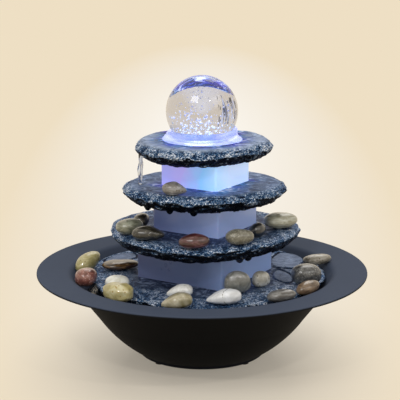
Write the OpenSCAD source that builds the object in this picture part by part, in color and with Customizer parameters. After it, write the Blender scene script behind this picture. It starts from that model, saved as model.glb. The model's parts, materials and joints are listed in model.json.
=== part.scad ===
// Tabletop water fountain. A flanged bowl holds the water and a small pump. The pump stands under a
// slotted stand that carries four rough slate steps, with hollow frosted blocks between them. A hose
// runs up the middle to a clear seat, where a solid glass ball turns on the rising water over a ring
// of lamps. All sizes are in millimetres, with the origin on the table under the ball and +Z up.

/* [Bowl] */
// Radius of the rim
rim_r = 140; // [130:1:150]
// Height of the rim's lip
rim_z = 73.4; // [73:0.2:76]
// Thickness of the lip
lip_t = 2; // [1.5:0.1:3]
// Height at which the wide flange meets the inner wall
flange_z = 72; // [70:0.2:73]
// Depth of the flange where it joins the wall
flange_root = 5; // [4:0.2:7]
// Inner radius where the wall meets the flange
throat_r = 112; // [108:0.5:114]
// Rounding between the flange and the inner wall
flange_fillet = 7; // [4:0.5:9]
// Radius where the round lower wall turns straight
shoulder_r = 88.8; // [87:0.2:91]
// Height where the round lower wall turns straight
shoulder_z = 35; // [33:0.5:37]
// Radius of the round wall at the foot
foot_r = 56; // [54:0.5:58]
// Height of the foot
foot_h = 4; // [3.5:0.1:5]
// Step in from the wall to the foot's side
foot_step = 1.5; // [1:0.1:2]
// Width of the ring that the bowl stands on
foot_ring_w = 10; // [9.5:0.5:12]
// Thickness of the bowl's wall and floor
bowl_wall = 4; // [3:0.2:5]

/* [Rubber feet] */
// Number of pads under the foot
pad_count = 4; // [3:1:6]
// Radius of a pad
pad_r = 4; // [3:0.25:4.5]
// How far a pad stands out of the foot
pad_out = 1; // [0.6:0.1:1.5]
// Depth of a pad's pocket
pad_pocket = 1.5; // [1:0.1:2]

/* [Stand] */
// Height of the stand that carries the steps
stand_h = 46.3; // [46:0.1:50]
// Outer radius of the stand
stand_r = 46; // [45:0.5:47]
// Thickness of the stand's wall and top ring
stand_t = 3; // [2:0.25:4]
// Radius of the hole in the stand's top ring
stand_hole_r = 28; // [26:0.5:30]
// Number of arched water openings
arch_count = 8; // [8:4:12]
// Width of a water opening
arch_w = 18; // [16:0.5:19]
// Height of a water opening's sill over the bowl's floor
arch_sill = 4; // [3:0.5:8]
// Height of an arch's crown over the bowl's floor
arch_crown = 38; // [34:0.5:40]

/* [Steps] */
// Thickness of the top step
step_1_t = 16.5; // [14.5:0.5:18]
// Thickness of the second step
step_2_t = 15.5; // [13:0.5:17]
// Thickness of the third step
step_3_t = 14.5; // [12:0.5:16]
// Thickness of the lowest step
step_4_t = 14.8; // [13:0.1:16]
// Mean reach of the top step
step_1_r = 58; // [55:0.5:62]
// Mean reach of the second step
step_2_r = 69; // [66:0.5:73]
// Mean reach of the third step
step_3_r = 81; // [78:0.5:85]
// Least gap between the lowest step and the bowl's wall
step_4_gap = 1.3; // [1:0.1:4]
// How far the top step's widest line lies under its top face
step_1_drop = 6.5; // [4:0.25:8]
// How far the second step's widest line lies under its top face
step_2_drop = 5.2; // [3:0.1:7]
// How far the third step's widest line lies under its top face
step_3_drop = 3.2; // [2:0.1:5]
// How far the lowest step's widest line lies under its top face
step_4_drop = 2; // [1.5:0.1:3]
// How far a chiselled edge runs in under its step
undercut = 11; // [8:0.5:12]
// Width of the worn shoulder round a step's top face
bevel_w = 7; // [5:0.25:8]
// Depth of the bite broken out of the lowest step's edge
bite_depth = 9; // [0:0.5:12]
// Direction of the bite, in degrees
bite_at = 239; // [236:1:242]
// Roughness of a chiselled edge
chip = 1.1; // [0:0.1:1.5]

/* [Frosted blocks] */
// Side of the top block
block_1_w = 54; // [51:0.5:57]
// Side of the middle block
block_2_w = 64; // [61:0.5:67]
// Side of the lowest block
block_3_w = 83.5; // [80:0.5:87]
// Height of the top block
block_1_h = 20.2; // [18:0.1:26]
// Height of the middle block
block_2_h = 22.2; // [19:0.1:28]
// Height of the lowest block
block_3_h = 26; // [22:0.1:30]
// Wall of a block
block_wall = 4; // [3:0.25:6]
// Rounding of a block's upright edges
block_edge_r = 2; // [1:0.25:3]
// Direction that the blocks' right corner points in, in degrees
block_turn = 13; // [8:1:20]
// How far the blocks stand to the right of the hose
block_shift = 2.9; // [0:0.1:4]

/* [Ball and seat] */
// Radius of the glass ball
ball_r = 30; // [28:0.5:32]
// Film of water under the ball
film = 0.3; // [0.2:0.05:0.5]
// Depth of the seat's dish under the top of the step
dish_sink = 6.4; // [6:0.1:7]
// Outer radius of the seat
seat_r = 19; // [17.5:0.5:20]
// Thickness of the seat's flange, which is sunk flush in the top step
seat_t = 2.5; // [2:0.25:3.5]
// Radius of the seat's skirt in the top step
skirt_r = 15.8; // [15:0.2:17]
// Height of the seat
skirt_h = 13; // [11.5:0.25:14]
// Room round the seat in the top step
seat_room = 0.2; // [0.1:0.05:0.4]
// Length of the spigot that the hose pushes onto
spigot_h = 10; // [8:0.5:14]

/* [Hose] */
// Bore radius of the hose
hose_bore_r = 4.5; // [4:0.1:4.8]
// Wall of the hose
hose_wall = 1.5; // [1.2:0.1:1.8]
// Room round the hose in the steps
hose_room = 0.5; // [0.3:0.1:1]
// Radius of the water way in the spigots
water_way_r = 3; // [2.5:0.1:3.2]

/* [Light] */
// Height of the lamp housing
lamp_case_h = 12; // [11:0.5:14]
// Wall of the lamp housing
lamp_case_wall = 1.5; // [1.2:0.1:1.8]
// Thickness of the lamp board
board_t = 1.6; // [1:0.1:2]
// Thickness of the cap that closes the housing
lamp_cap_t = 3.2; // [2.5:0.1:4]
// Number of lamps
lamp_count = 6; // [4:1:7]
// Radius of a lamp's dome
lamp_r = 2.3; // [2:0.1:2.4]
// Radius of the lamp lead
lamp_lead_r = 1.5; // [1.2:0.1:1.8]
// Room round the lamp lead in the steps
lead_room = 1; // [0.5:0.1:1.5]
// Room round the lamp plug in the lowest step
plug_room = 0.5; // [0.3:0.1:1]
// How far behind the hose the lamp lead runs
lead_y = 14; // [13:0.5:15]
// How far behind the hose the lamp plug stands
plug_y = 20; // [18:0.5:21]
// Radius of the plug's pin
plug_pin_r = 3.95; // [3:0.05:4.2]
// Radius of the plug's collar
plug_collar_r = 5; // [4.8:0.1:5.5]
// Radial running room of the plug and the pump's spigot
slip_fit = 0.05; // [0.02:0.01:0.09]

/* [Pump] */
// Width of the pump
pump_w = 34; // [33:0.5:38]
// Length of the pump's body
pump_l = 40; // [38:0.5:42]
// Height of the pump
pump_h = 32; // [31:0.5:33]
// Rounding of the pump's upright edges
pump_edge_r = 3; // [2:0.5:4]
// Depth of the impeller chamber
chamber_d = 12; // [11:0.5:13]
// Radius of the impeller chamber
chamber_r = 11.5; // [11:0.1:11.8]
// Radius of the rotor's tunnel
tunnel_r = 7.5; // [7:0.1:8]
// Length of the rotor's tunnel
tunnel_l = 25; // [23:0.5:26]
// Room round the rotor in its tunnel
rotor_room = 0.5; // [0.3:0.1:0.7]
// Radius of the ceramic shaft
shaft_r = 1; // [0.8:0.1:1.5]
// Radial running room on the shaft
shaft_fit = 0.05; // [0.02:0.01:0.09]
// Number of impeller blades
blade_count = 6; // [4:1:8]
// Depth of the intake cover
cover_d = 10; // [9:0.5:12]
// Wall of the intake cover
cover_wall = 2; // [1.5:0.25:2.25]
// Width of an intake slot
slot_w = 1.8; // [1.4:0.1:2.2]
// Spacing of the intake slots
slot_pitch = 4; // [3.5:0.25:5]
// Height of the suction cups
cup_h = 5; // [4.5:0.1:5.5]
// Radius of a suction cup
cup_r = 6; // [5:0.5:6]
// Length of the pump's spigot inside the hose
nozzle_h = 13; // [10:0.5:15]
// Width of the flow slider
slider_w = 12; // [10:0.5:14]
// Travel of the flow slider to each side
slider_travel = 8; // [6:0.5:8]
// Room round the flow slider in its rails
slider_room = 0.2; // [0.1:0.05:0.3]

/* [Cord gland] */
// Radius of the gland's bore, which the cord fills
cord_r = 2.5; // [2:0.1:3]
// Radius of the gland's shank
gland_r = 6; // [5.5:0.1:6.5]
// Room round the shank in the bowl
gland_room = 0.1; // [0.05:0.05:0.3]
// Radius of the gland's flange and washer
gland_flange_r = 9; // [8.5:0.25:9.5]
// Thickness of the gland's rubber washer
washer_t = 1.5; // [1:0.1:2]
// Thickness of the gland's flange
gland_flange_t = 3; // [2:0.25:4]
// Length of the gland's clamping dome
gland_dome_l = 8; // [6:0.5:10]
// Thickness of the gland's nut
nut_t = 4; // [3:0.25:5]

/* [Hidden] */
$fn = 64;
eps = 0.01;
seat_gap = 0.3;

pebble_count = 22;

// ---- Bowl walls. The lower wall is part of a sphere, and a cone runs on from it to the flange.
sphere_z = (shoulder_r ^ 2 + shoulder_z ^ 2 - foot_r ^ 2 - foot_h ^ 2) / (2 * (shoulder_z - foot_h));
sphere_r = norm([foot_r, sphere_z - foot_h]);
inner_sphere_r = sphere_r - bowl_wall;
floor_z = foot_h + bowl_wall;
wall_normal = [shoulder_r, shoulder_z - sphere_z] / sphere_r;
inner_shoulder = [shoulder_r, shoulder_z] - bowl_wall * wall_normal;
wall_slope = (throat_r - inner_shoulder.x) / (flange_z - inner_shoulder.y);

function outer_wall(z) = z < shoulder_z
    ? sqrt(sphere_r ^ 2 - (sphere_z - z) ^ 2)
    : shoulder_r + (z - shoulder_z) * wall_slope;
function inner_wall(z) = z < inner_shoulder.y
    ? sqrt(inner_sphere_r ^ 2 - (sphere_z - z) ^ 2)
    : inner_shoulder.x + (z - inner_shoulder.y) * wall_slope;
function unit(v) = v / norm(v);

// Points that round the corner b of the path a, b, c to the radius r
function rounded(a, b, c, r, n) =
    let (u = unit(a - b), v = unit(c - b), half = acos(u * v) / 2,
         centre = b + unit(u + v) * r / sin(half),
         from = b + u * r / tan(half), to = b + v * r / tan(half),
         start = atan2(from.y - centre.y, from.x - centre.x),
         sweep = (atan2(to.y - centre.y, to.x - centre.x) - start + 540) % 360 - 180)
    [for (i = [0:n]) centre + r * [cos(start + sweep * i / n), sin(start + sweep * i / n)]];

// ---- Heights, from the bowl's floor up
step_ts = [step_1_t, step_2_t, step_3_t, step_4_t];
block_ws = [block_1_w, block_2_w, block_3_w];
block_hs = [block_1_h, block_2_h, block_3_h];
step_4_z = floor_z + stand_h;
step_zs = [for (i = [0:3])
    step_4_z + (i < 3 ? step_4_t : 0) + (i < 2 ? step_3_t : 0) + (i < 1 ? step_2_t : 0)
    + (i < 3 ? block_3_h : 0) + (i < 2 ? block_2_h : 0) + (i < 1 ? block_1_h : 0)];
step_tops = step_zs + step_ts;
top_z = step_tops[0];

// ---- Steps. Each outline is sixteen shares of the step's reach, counter-clockwise from the right.
step_drops = [step_1_drop, step_2_drop, step_3_drop, step_4_drop];
step_4_r = inner_wall(step_4_z + step_4_t - step_4_drop) - step_4_gap - chip;
step_rs = [step_1_r, step_2_r, step_3_r, step_4_r];
step_outlines = [
    [1.04, 1.06, 1.11, 1.08, 1.07, 1.08, 1.03, 0.99, 0.98, 0.97, 0.96, 0.94, 0.91, 0.88, 0.88, 0.95],
    [1.05, 1.05, 1.02, 1.00, 0.98, 0.98, 0.97, 0.96, 0.98, 0.97, 0.93, 0.90, 0.90, 0.90, 0.92, 0.98],
    [1.04, 1.04, 1.01, 0.99, 1.00, 1.00, 1.00, 1.00, 0.96, 0.96, 0.94, 0.96, 0.99, 0.94, 0.95, 0.99],
    [1.00, 1.00, 1.00, 0.98, 0.95, 0.95, 0.97, 0.95, 0.89, 0.89, 0.93, 0.96, 0.98, 0.95, 0.96, 0.97]
];
step_seeds = [11, 23, 37, 41];
step_sides = 60;
// Height and inset of each ring of a chiselled edge, as shares of the height to the widest line and
// of the undercut
band = [[0, 1], [0.22, 0.66], [0.48, 0.36], [0.75, 0.12], [1, 0]];
// Height and inset of the rings of the shoulder above it, as shares of the drop and of the bevel
shoulder = [[0.6, 0.3], [1, 1]];
bite_half = 8;

// The share at the angle a, as a smooth curve through the listed ones
function share_at(list, a) =
    let (n = len(list), x = a / 360 * n, i = floor(x), t = x - i,
         p0 = list[(i + n - 1) % n], p1 = list[i % n], p2 = list[(i + 1) % n], p3 = list[(i + 2) % n])
    p1 + 0.5 * t * (p2 - p0 + t * (2 * p0 - 5 * p1 + 4 * p2 - p3 + t * (3 * (p1 - p2) + p3 - p0)));
function bite(i, a) = i == 3 ? bite_depth * exp(-((a - bite_at) / bite_half) ^ 2) : 0;
function step_edge(i, a) = let (b = (a + 360) % 360) step_rs[i] * share_at(step_outlines[i], b) - bite(i, b);

// ---- Blocks: squares whose faces look along block_turn + 45 and every quarter turn from there
function block_edge(i, a) =
    min([for (k = [0:3])
        let (f = block_turn + 45 + 90 * k)
        cos(a - f) > 0.1 ? (block_ws[i] / 2 + block_shift * cos(f)) / cos(a - f) : 999]);

// ---- Ball, seat and light
ball_z = top_z - dish_sink + film + ball_r;
dish_r = ball_r + film;
skirt_z = top_z - skirt_h;
spigot_r = hose_bore_r;
hose_r = hose_bore_r + hose_wall;
hose_hole_r = hose_r + hose_room;
lamp_case_z = skirt_z - lamp_case_h;
lamp_cap_z = lamp_case_z;
board_z = lamp_case_z + lamp_cap_t;
lamp_ring_r = (hose_hole_r + skirt_r) / 2;
board_out = skirt_r - lamp_case_wall;
board_in = hose_hole_r + lamp_case_wall;
lead_hole_r = lamp_lead_r + lead_room;

// ---- Pump
pump_z = floor_z + cup_h;
pump_mid_z = pump_z + pump_h / 2;
pump_top = pump_z + pump_h;
pump_front = -chamber_d / 2;
pump_back = pump_front + pump_l;
tunnel_y = pump_front + chamber_d;
plate_t = 2;
pocket_fit = 0.2;
seal_r = 0.6;
seal_ring_r = chamber_r + 1.3;
bush_t = 2;
bush_r = 3;
nozzle_flange_r = 6.5;
nozzle_flange_t = 2;
nozzle_plug_r = chamber_d / 2 - 2 * seal_r - 0.2;
nozzle_plug_h = 3.5;
socket_r = 5.5;
socket_h = 6;
socket_depth = 5;
lamp_plug_h = 7;
lamp_plug_top = pump_top + socket_h + seat_gap + lamp_plug_h;
relief_r = 4;
relief_l = 4;
rail_t = 1.5;
rail_out = 3.5;
rail_l = pump_w - 4;
slider_t = 1.5;
slider_h = 6;
slider_z = pump_z + 9;

// ---- Cord gland, level with the pump's axis, in a boss through the sloping wall
gland_z = pump_mid_z;
boss_r = gland_flange_r + 1.5;
boss_in = inner_wall(gland_z - gland_flange_r);
boss_out = outer_wall(gland_z + boss_r) + 1;
gland_in = boss_in - nut_t - 2;

// ---- Pebbles
// Each row: step, direction in degrees, share of the way from the block to the step's rim,
// [length, width, height], turn and nose-up tilt in degrees, lift over the step, colour
pebbles = [
    [1, 245, 0.74, [21, 15, 12], 10, 0, 0, "tan"],
    [2, 202, 0.67, [25, 19, 13], 35, 0, 0, "sage"],
    [2, 179, 0.38, [20, 14, 12], 80, 0, 0, "brown"],
    [2, 226, 0.70, [28, 18, 12], 8, 0, 0, "olive"],
    [2, 265, 0.83, [26, 18, 12.5], 8, 0, 0, "red"],
    [2, 297, 0.73, [24, 18, 13], 12, 0, 0, "tan"],
    [2, 323, 0.51, [19, 14, 12], 60, 0, 0, "black"],
    [2, 356, 0.61, [31, 22, 14], 25, 0, 0, "sage"],
    [3, 170.8, 1.058, [28, 16, 15], 50, 18, -1.7, "yellow"],
    [3, 196.4, 1.166, [23, 18, 16], 70, 0, -3, "rose"],
    [3, 170, 0.53, [33, 22, 8], 15, 0, 0, "rust"],
    [3, 214, 0.76, [21, 16, 11.5], 5, 0, 0, "cream"],
    [3, 229, 1.083, [27, 20, 15.5], 150, 0, -1.45, "yellow"],
    [3, 256, 0.52, [22, 15, 11], 12, 0, 0, "cream"],
    [3, 259, 0.987, [26, 17, 13], 20, 0, -0.2, "cream"],
    [3, 281, 0.75, [29, 19, 12], 14, 0, 0, "white"],
    [3, 296, 0.27, [24, 17, 19], 10, 0, 0, "olive"],
    [3, 319, 0.34, [17, 13, 14], 30, 0, 0, "sage"],
    [3, 12.5, 0.915, [26, 15, 10], 13, 4, 0.8, "tan"],
    [3, 338, 0.83, [26, 21, 18], 20, 0, 0, "black"],
    [3, 324.9, 1.043, [24, 14, 11], 40, 8, -0.6, "rust"],
    [3, 307.4, 1.045, [24, 15, 10], 5, 6, -0.4, "brown"]
];
rear_pebbles = [
    [3, 62, 0.55, [26, 18, 12], 150, 0, 0, "tan"],
    [3, 92, 0.62, [22, 16, 13], 20, 0, 0, "tan"],
    [3, 122, 0.50, [28, 20, 12], 40, 0, 0, "tan"],
    [2, 75, 0.50, [22, 16, 12], 160, 0, 0, "tan"],
    [2, 112, 0.50, [25, 17, 12], 30, 0, 0, "tan"],
    [1, 80, 0.50, [20, 14, 10], 0, 0, 0, "tan"]
];
pebble_colours = [
    ["tan", "#a39a7c"], ["sage", "#a5a792"], ["brown", "#5c4f42"], ["olive", "#6f6d5c"],
    ["red", "#8a3b31"], ["black", "#33363a"], ["yellow", "#c3b67a"], ["rose", "#a5685c"],
    ["rust", "#8d6a45"], ["cream", "#ddd6bb"], ["white", "#e6e5df"]
];
pebble_flat = 0.88;

// ---- Bowl
module bowl_section() {
    corner = [inner_wall(flange_z), flange_z];
    under = [outer_wall(flange_z - flange_root), flange_z - flange_root];
    outer_arc = [for (i = [0:14]) let (z = foot_h + (shoulder_z - foot_h) * i / 14) [outer_wall(z), z]];
    inner_arc = [for (i = [0:14])
        let (z = inner_shoulder.y - (inner_shoulder.y - floor_z) * i / 14) [inner_wall(z), z]];
    foot_side = foot_r - foot_step;
    polygon(concat(
        [[0, foot_h], [foot_side - foot_ring_w, foot_h], [foot_side - foot_ring_w, pad_out]],
        [[foot_side - 1, pad_out], [foot_side, pad_out + 1], [foot_side, foot_h]],
        outer_arc,
        rounded([shoulder_r, shoulder_z], under, [rim_r, rim_z - lip_t], 6, 5),
        rounded(under, [rim_r, rim_z - lip_t], [rim_r, rim_z], lip_t * 0.4, 3),
        rounded([rim_r, rim_z - lip_t], [rim_r, rim_z], corner, lip_t * 0.4, 3),
        rounded([rim_r, rim_z], corner, inner_shoulder, flange_fillet, 8),
        inner_arc,
        [[0, floor_z]]
    ));
}

module along_y(y) {
    translate([0, y, 0]) rotate([-90, 0, 0]) children();
}

module bowl() {
    color("#35373c") difference() {
        union() {
            rotate_extrude($fn = 128) bowl_section();
            translate([0, 0, gland_z]) along_y(boss_in) cylinder(r = boss_r, h = boss_out - boss_in);
        }
        translate([0, 0, gland_z]) along_y(boss_in - 5) {
            cylinder(r = gland_r + gland_room, h = boss_out - boss_in + 10);
            cylinder(r = gland_flange_r + 1, h = 5);
        }
        at_pads() cylinder(r = pad_r, h = pad_pocket + eps);
    }
}

// Places its child at each rubber pad's pocket
module at_pads() {
    pad_ring = foot_r - foot_step - foot_ring_w / 2;
    for (i = [0:pad_count - 1]) rotate(45 + 360 / pad_count * i) translate([pad_ring, 0, pad_out]) children();
}

module rubber_feet() {
    color("#1c1c1c") at_pads() translate([0, 0, -pad_out]) cylinder(r = pad_r, h = pad_out + pad_pocket);
}

module cable_gland() {
    flange_y = boss_out + washer_t;
    color("#232325") translate([0, 0, gland_z]) difference() {
        union() {
            along_y(gland_in) cylinder(r = gland_r, h = flange_y - gland_in);
            along_y(flange_y) cylinder(r = gland_flange_r, h = gland_flange_t);
            along_y(flange_y + gland_flange_t) cylinder(r1 = gland_flange_r - 1, r2 = cord_r + 2, h = gland_dome_l);
        }
        along_y(gland_in - 1) cylinder(r = cord_r, h = 60);
    }
}

module gland_washer() {
    color("#111111") translate([0, 0, gland_z]) along_y(boss_out) difference() {
        cylinder(r = gland_flange_r, h = washer_t);
        translate([0, 0, -1]) cylinder(r = gland_r, h = washer_t + 2);
    }
}

module gland_nut() {
    color("#2b2b2e") translate([0, 0, gland_z]) along_y(boss_in - nut_t) difference() {
        cylinder(r = gland_flange_r, h = nut_t, $fn = 6);
        translate([0, 0, -1]) cylinder(r = gland_r, h = nut_t + 2);
    }
}

// ---- Stand
module arch() {
    translate([-arch_w / 2, arch_sill]) square([arch_w, arch_crown - arch_w / 2 - arch_sill]);
    translate([0, arch_crown - arch_w / 2]) circle(r = arch_w / 2);
}

module pump_stand() {
    color("#28282b") translate([0, 0, floor_z]) difference() {
        cylinder(r = stand_r, h = stand_h, $fn = 96);
        translate([0, 0, -1]) cylinder(r = stand_r - stand_t, h = stand_h - stand_t + 1, $fn = 96);
        cylinder(r = stand_hole_r, h = stand_h + 1);
        for (i = [0:arch_count - 1])
            rotate(360 / arch_count * i) rotate([90, 0, 0]) translate([0, 0, stand_r - stand_t * 2])
                linear_extrude(stand_t * 3) arch();
    }
}

// ---- Pump
// Plate with round upright edges, centred on X, from y0 to y0 + l
module rounded_plate(w, l, h, r, y0) {
    translate([0, y0 + l / 2, 0]) linear_extrude(h) {
        square([w - 2 * r, l], center = true);
        square([w, l - 2 * r], center = true);
        for (x = [-1, 1], y = [-1, 1]) translate([x * (w / 2 - r), y * (l / 2 - r)]) circle(r = r);
    }
}

module at_axis(y) {
    translate([0, 0, pump_mid_z]) along_y(y) children();
}

module at_cups() {
    for (x = [-1, 1], y = [0.22, 0.78])
        translate([x * (pump_w / 2 - cup_r), pump_front + y * pump_l, floor_z]) children();
}

module pump_body() {
    color("#1d1f22") difference() {
        union() {
            translate([0, 0, pump_z]) rounded_plate(pump_w, pump_l, pump_h, pump_edge_r, pump_front);
            at_axis(pump_back) cylinder(r1 = relief_r + 1, r2 = relief_r, h = relief_l);
        }
        at_axis(pump_front - 1) cylinder(r = chamber_r, h = chamber_d + 1);
        at_axis(tunnel_y - 1) cylinder(r = tunnel_r, h = tunnel_l + 1);
        at_axis(pump_front - 1) difference() {
            cylinder(r = seal_ring_r + seal_r, h = 1 + seal_r * 2);
            cylinder(r = seal_ring_r - seal_r, h = 1 + seal_r * 2);
        }
        translate([0, 0, pump_mid_z]) cylinder(r = water_way_r, h = pump_h);
        translate([0, 0, pump_top - nozzle_plug_h]) cylinder(r = nozzle_plug_r, h = nozzle_plug_h + 1);
        at_cups() cylinder(r = 2, h = cup_h + 2.5);
    }
}

module pump_nozzle() {
    color("#2c2e31") difference() {
        union() {
            translate([0, 0, pump_top - nozzle_plug_h]) cylinder(r = nozzle_plug_r, h = nozzle_plug_h);
            translate([0, 0, pump_top]) cylinder(r = nozzle_flange_r, h = nozzle_flange_t);
            translate([0, 0, pump_top]) cylinder(r = hose_bore_r - slip_fit, h = nozzle_flange_t + nozzle_h);
        }
        translate([0, 0, pump_top - nozzle_plug_h - 1]) cylinder(r = water_way_r, h = nozzle_h + 10);
    }
}

module lamp_socket() {
    color("#2c2e31") translate([0, plug_y, pump_top]) difference() {
        cylinder(r = socket_r, h = socket_h);
        translate([0, 0, socket_h - socket_depth]) cylinder(r = plug_pin_r + slip_fit, h = socket_depth + 1);
    }
}

module suction_cups() {
    color("#3a3a3c") at_cups() rotate_extrude() polygon([
        [0, cup_h * 0.3], [cup_r * 0.5, cup_h * 0.22], [cup_r, 0], [cup_r - 0.4, cup_h * 0.25], [3, cup_h * 0.7],
        [3, cup_h], [2, cup_h], [2, cup_h + 2.5], [0, cup_h + 2.5]
    ]);
}

module pump_seal() {
    color("#111111") at_axis(pump_front + seal_r) rotate_extrude() translate([seal_ring_r, 0]) circle(r = seal_r);
}

module volute_plate() {
    plate_w = pump_w - 2 * (cover_wall + pocket_fit);
    plate_h = pump_h - 2 * (cover_wall + pocket_fit);
    color("#34363a") difference() {
        translate([-plate_w / 2, pump_front - plate_t, pump_mid_z - plate_h / 2]) cube([plate_w, plate_t, plate_h]);
        at_axis(pump_front - plate_t - 1) difference() {
            cylinder(r = tunnel_r, h = plate_t + 2);
            cylinder(r = bush_r + 1.2, h = plate_t + 2);
            for (a = [90, 210, 330]) rotate(a) translate([0, -0.8, 0]) cube([tunnel_r + 1, 1.6, plate_t + 2]);
        }
        at_axis(pump_front - plate_t - 1) cylinder(r = bush_r, h = plate_t + 2);
    }
}

module shaft_bushes() {
    color("#d8d2c4") for (y = [pump_front - bush_t, tunnel_y + tunnel_l - bush_t]) at_axis(y) difference() {
        cylinder(r = bush_r, h = bush_t);
        translate([0, 0, -1]) cylinder(r = shaft_r, h = bush_t + 2);
    }
}

module impeller_shaft() {
    color("#ece8dc") at_axis(pump_front - bush_t) cylinder(r = shaft_r, h = chamber_d + tunnel_l + bush_t);
}

module impeller() {
    blade_r = chamber_r - 1;
    color("#3f6f9c") at_axis(pump_front + 1) difference() {
        union() {
            cylinder(r = bush_r + 0.5, h = chamber_d - 1.5);
            translate([0, 0, chamber_d - 4]) cylinder(r = blade_r, h = 1.5);
            for (i = [0:blade_count - 1]) rotate(360 / blade_count * i) intersection() {
                translate([0, 0, 0.5]) cylinder(r = blade_r, h = chamber_d - 4);
                translate([blade_r / 2, 0, 0]) difference() {
                    cylinder(r = blade_r / 2, h = chamber_d);
                    cylinder(r = blade_r / 2 - 1.2, h = chamber_d);
                    translate([-blade_r, -blade_r, -1]) cube([2 * blade_r, blade_r, chamber_d + 2]);
                }
            }
        }
        translate([0, 0, -1]) cylinder(r = shaft_r + shaft_fit, h = chamber_d + 2);
    }
}

module rotor_magnet() {
    color("#4a4440") at_axis(pump_front + chamber_d - 0.5) difference() {
        cylinder(r = tunnel_r - rotor_room, h = tunnel_l - bush_t - 0.5);
        translate([0, 0, -1]) cylinder(r = shaft_r + shaft_fit, h = tunnel_l + 2);
    }
}

module intake_cover() {
    front = pump_front - cover_d;
    inner_w = pump_w - 2 * cover_wall;
    color("#1d1f22") {
        difference() {
            translate([-pump_w / 2, front, pump_z]) cube([pump_w, cover_d, pump_h]);
            translate([-inner_w / 2, front + cover_wall, pump_z + cover_wall])
                cube([inner_w, cover_d, pump_h - 2 * cover_wall]);
            for (i = [-3:3])
                translate([i * slot_pitch - slot_w / 2, front - 1, slider_z + slider_h])
                    cube([slot_w, cover_wall + 2, pump_h - 20]);
            translate([-slider_w / 2 + 1.5, front - 1, slider_z - slider_h / 2 + 1])
                cube([slider_w - 3, cover_wall + 2, slider_h - 2]);
        }
        for (side = [-1, 1]) translate([-rail_l / 2, front - rail_out, slider_z]) rail(side);
    }
}

// Rail of the flow slider, above it for side 1 and below it for side -1, with a lip over its edge
module rail(side) {
    reach = slider_h / 2 + slider_room;
    lip = 1;
    low = side > 0 ? reach : -reach - rail_t;
    lip_low = side > 0 ? reach - lip : -reach;
    translate([0, 0, low]) cube([rail_l, rail_out, rail_t]);
    translate([0, 0, lip_low]) cube([rail_l, rail_out - slider_t - 2 * slider_room, lip]);
}

module flow_slider() {
    back = pump_front - cover_d - slider_room;
    color("#9aa0a6") {
        translate([-slider_w / 2, back - slider_t, slider_z - slider_h / 2]) cube([slider_w, slider_t, slider_h]);
        translate([-1, back - slider_t - 3, slider_z - 1.5]) cube([2, 3, 3]);
    }
}

module intake_sponge() {
    room = cover_wall + 0.3;
    depth = cover_d - cover_wall - plate_t;
    color("#3d4a57") translate([-pump_w / 2 + room, pump_front - plate_t - depth + 0.3, pump_z + room])
        cube([pump_w - 2 * room, depth - 0.6, pump_h - 2 * room]);
}

// ---- Leads. Each is one tube swept along its route, which is chosen by hand.
function across(p, i) = let (n = len(p)) unit(p[min(i + 1, n - 1)] - p[max(i - 1, 0)]);
module lead(route, r, sides) {
    n = len(route);
    side = [1, 0, 0];
    rings = [for (i = [0:n - 1])
        let (d = across(route, i), v = cross(d, side))
        for (k = [0:sides - 1]) route[i] + r * (cos(360 * k / sides) * side + sin(360 * k / sides) * v)];
    sheath = [for (i = [0:n - 2], k = [0:sides - 1])
        let (a = i * sides + k, b = i * sides + (k + 1) % sides) [a, a + sides, b + sides, b]];
    polyhedron(rings, concat([[for (k = [0:sides - 1]) k]], sheath,
        [[for (k = [sides - 1:-1:0]) (n - 1) * sides + k]]), convexity = 4);
}

module pump_lead() {
    start = pump_back + relief_l;
    color("#151515") lead([
        [0, start, gland_z], [0, start + 5, gland_z], [0, start + 10, gland_z - 0.8],
        [0, (start + gland_in) / 2, gland_z - 1.2], [0, gland_in - 9, gland_z - 0.8],
        [0, gland_in - 4, gland_z], [0, gland_in, gland_z]
    ], cord_r, 10);
}

module lamp_lead() {
    color("#202024") lead([
        [0, lamp_ring_r, lamp_cap_z], [0, lamp_ring_r, lamp_cap_z - 5], [0, lead_y - 1, step_tops[1] + 6],
        [0, lead_y, step_tops[1]], [0, lead_y, step_zs[1]], [0, lead_y, step_tops[2] + 8],
        [0, lead_y, step_tops[2]], [0, lead_y, step_zs[2]], [0, lead_y + 1, step_zs[2] - 7],
        [0, plug_y - 1, step_tops[3] + 7], [0, plug_y, step_tops[3]], [0, plug_y, lamp_plug_top]
    ], lamp_lead_r, 8);
}

// ---- Steps
module step_solid(i) {
    n = step_sides;
    t = step_ts[i];
    rough = rands(-1, 1, 2 * n * len(band), step_seeds[i]);
    rings = concat(
        [for (k = [0:len(band) - 1], j = [0:n - 1])
            let (a = 360 * (j + (k % 2) / 2) / n, m = 2 * (k * n + j), level = k > 0 ? chip * rough[m + 1] * 0.4 : 0,
                 r = step_edge(i, a) - undercut * band[k].y + (k > 0 ? chip * rough[m] : 0))
            [r * cos(a), r * sin(a), (t - step_drops[i]) * band[k].x + level]],
        [for (k = [0:1], j = [0:n - 1])
            let (a = 360 * (j + (1 - k) / 2) / n, level = k == 0 ? chip * rough[2 * j + 1] * 0.3 : 0,
                 r = step_edge(i, a) - bevel_w * shoulder[k].y + chip * rough[2 * j + k] * 0.6)
            [r * cos(a), r * sin(a), t - step_drops[i] * (1 - shoulder[k].x) + level]]
    );
    count = len(band) + len(shoulder);
    sides = [for (k = [0:count - 2], j = [0:n - 1])
        let (a = k * n + j, b = k * n + (j + 1) % n, c = a + n, d = b + n)
        each (k % 2 == 0 ? [[a, c, b], [b, c, d]] : [[a, c, d], [a, d, b]])];
    polyhedron(rings, concat([[for (j = [0:n - 1]) j]], sides,
        [[for (j = [n - 1:-1:0]) (count - 1) * n + j]]), convexity = 6);
}

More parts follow.
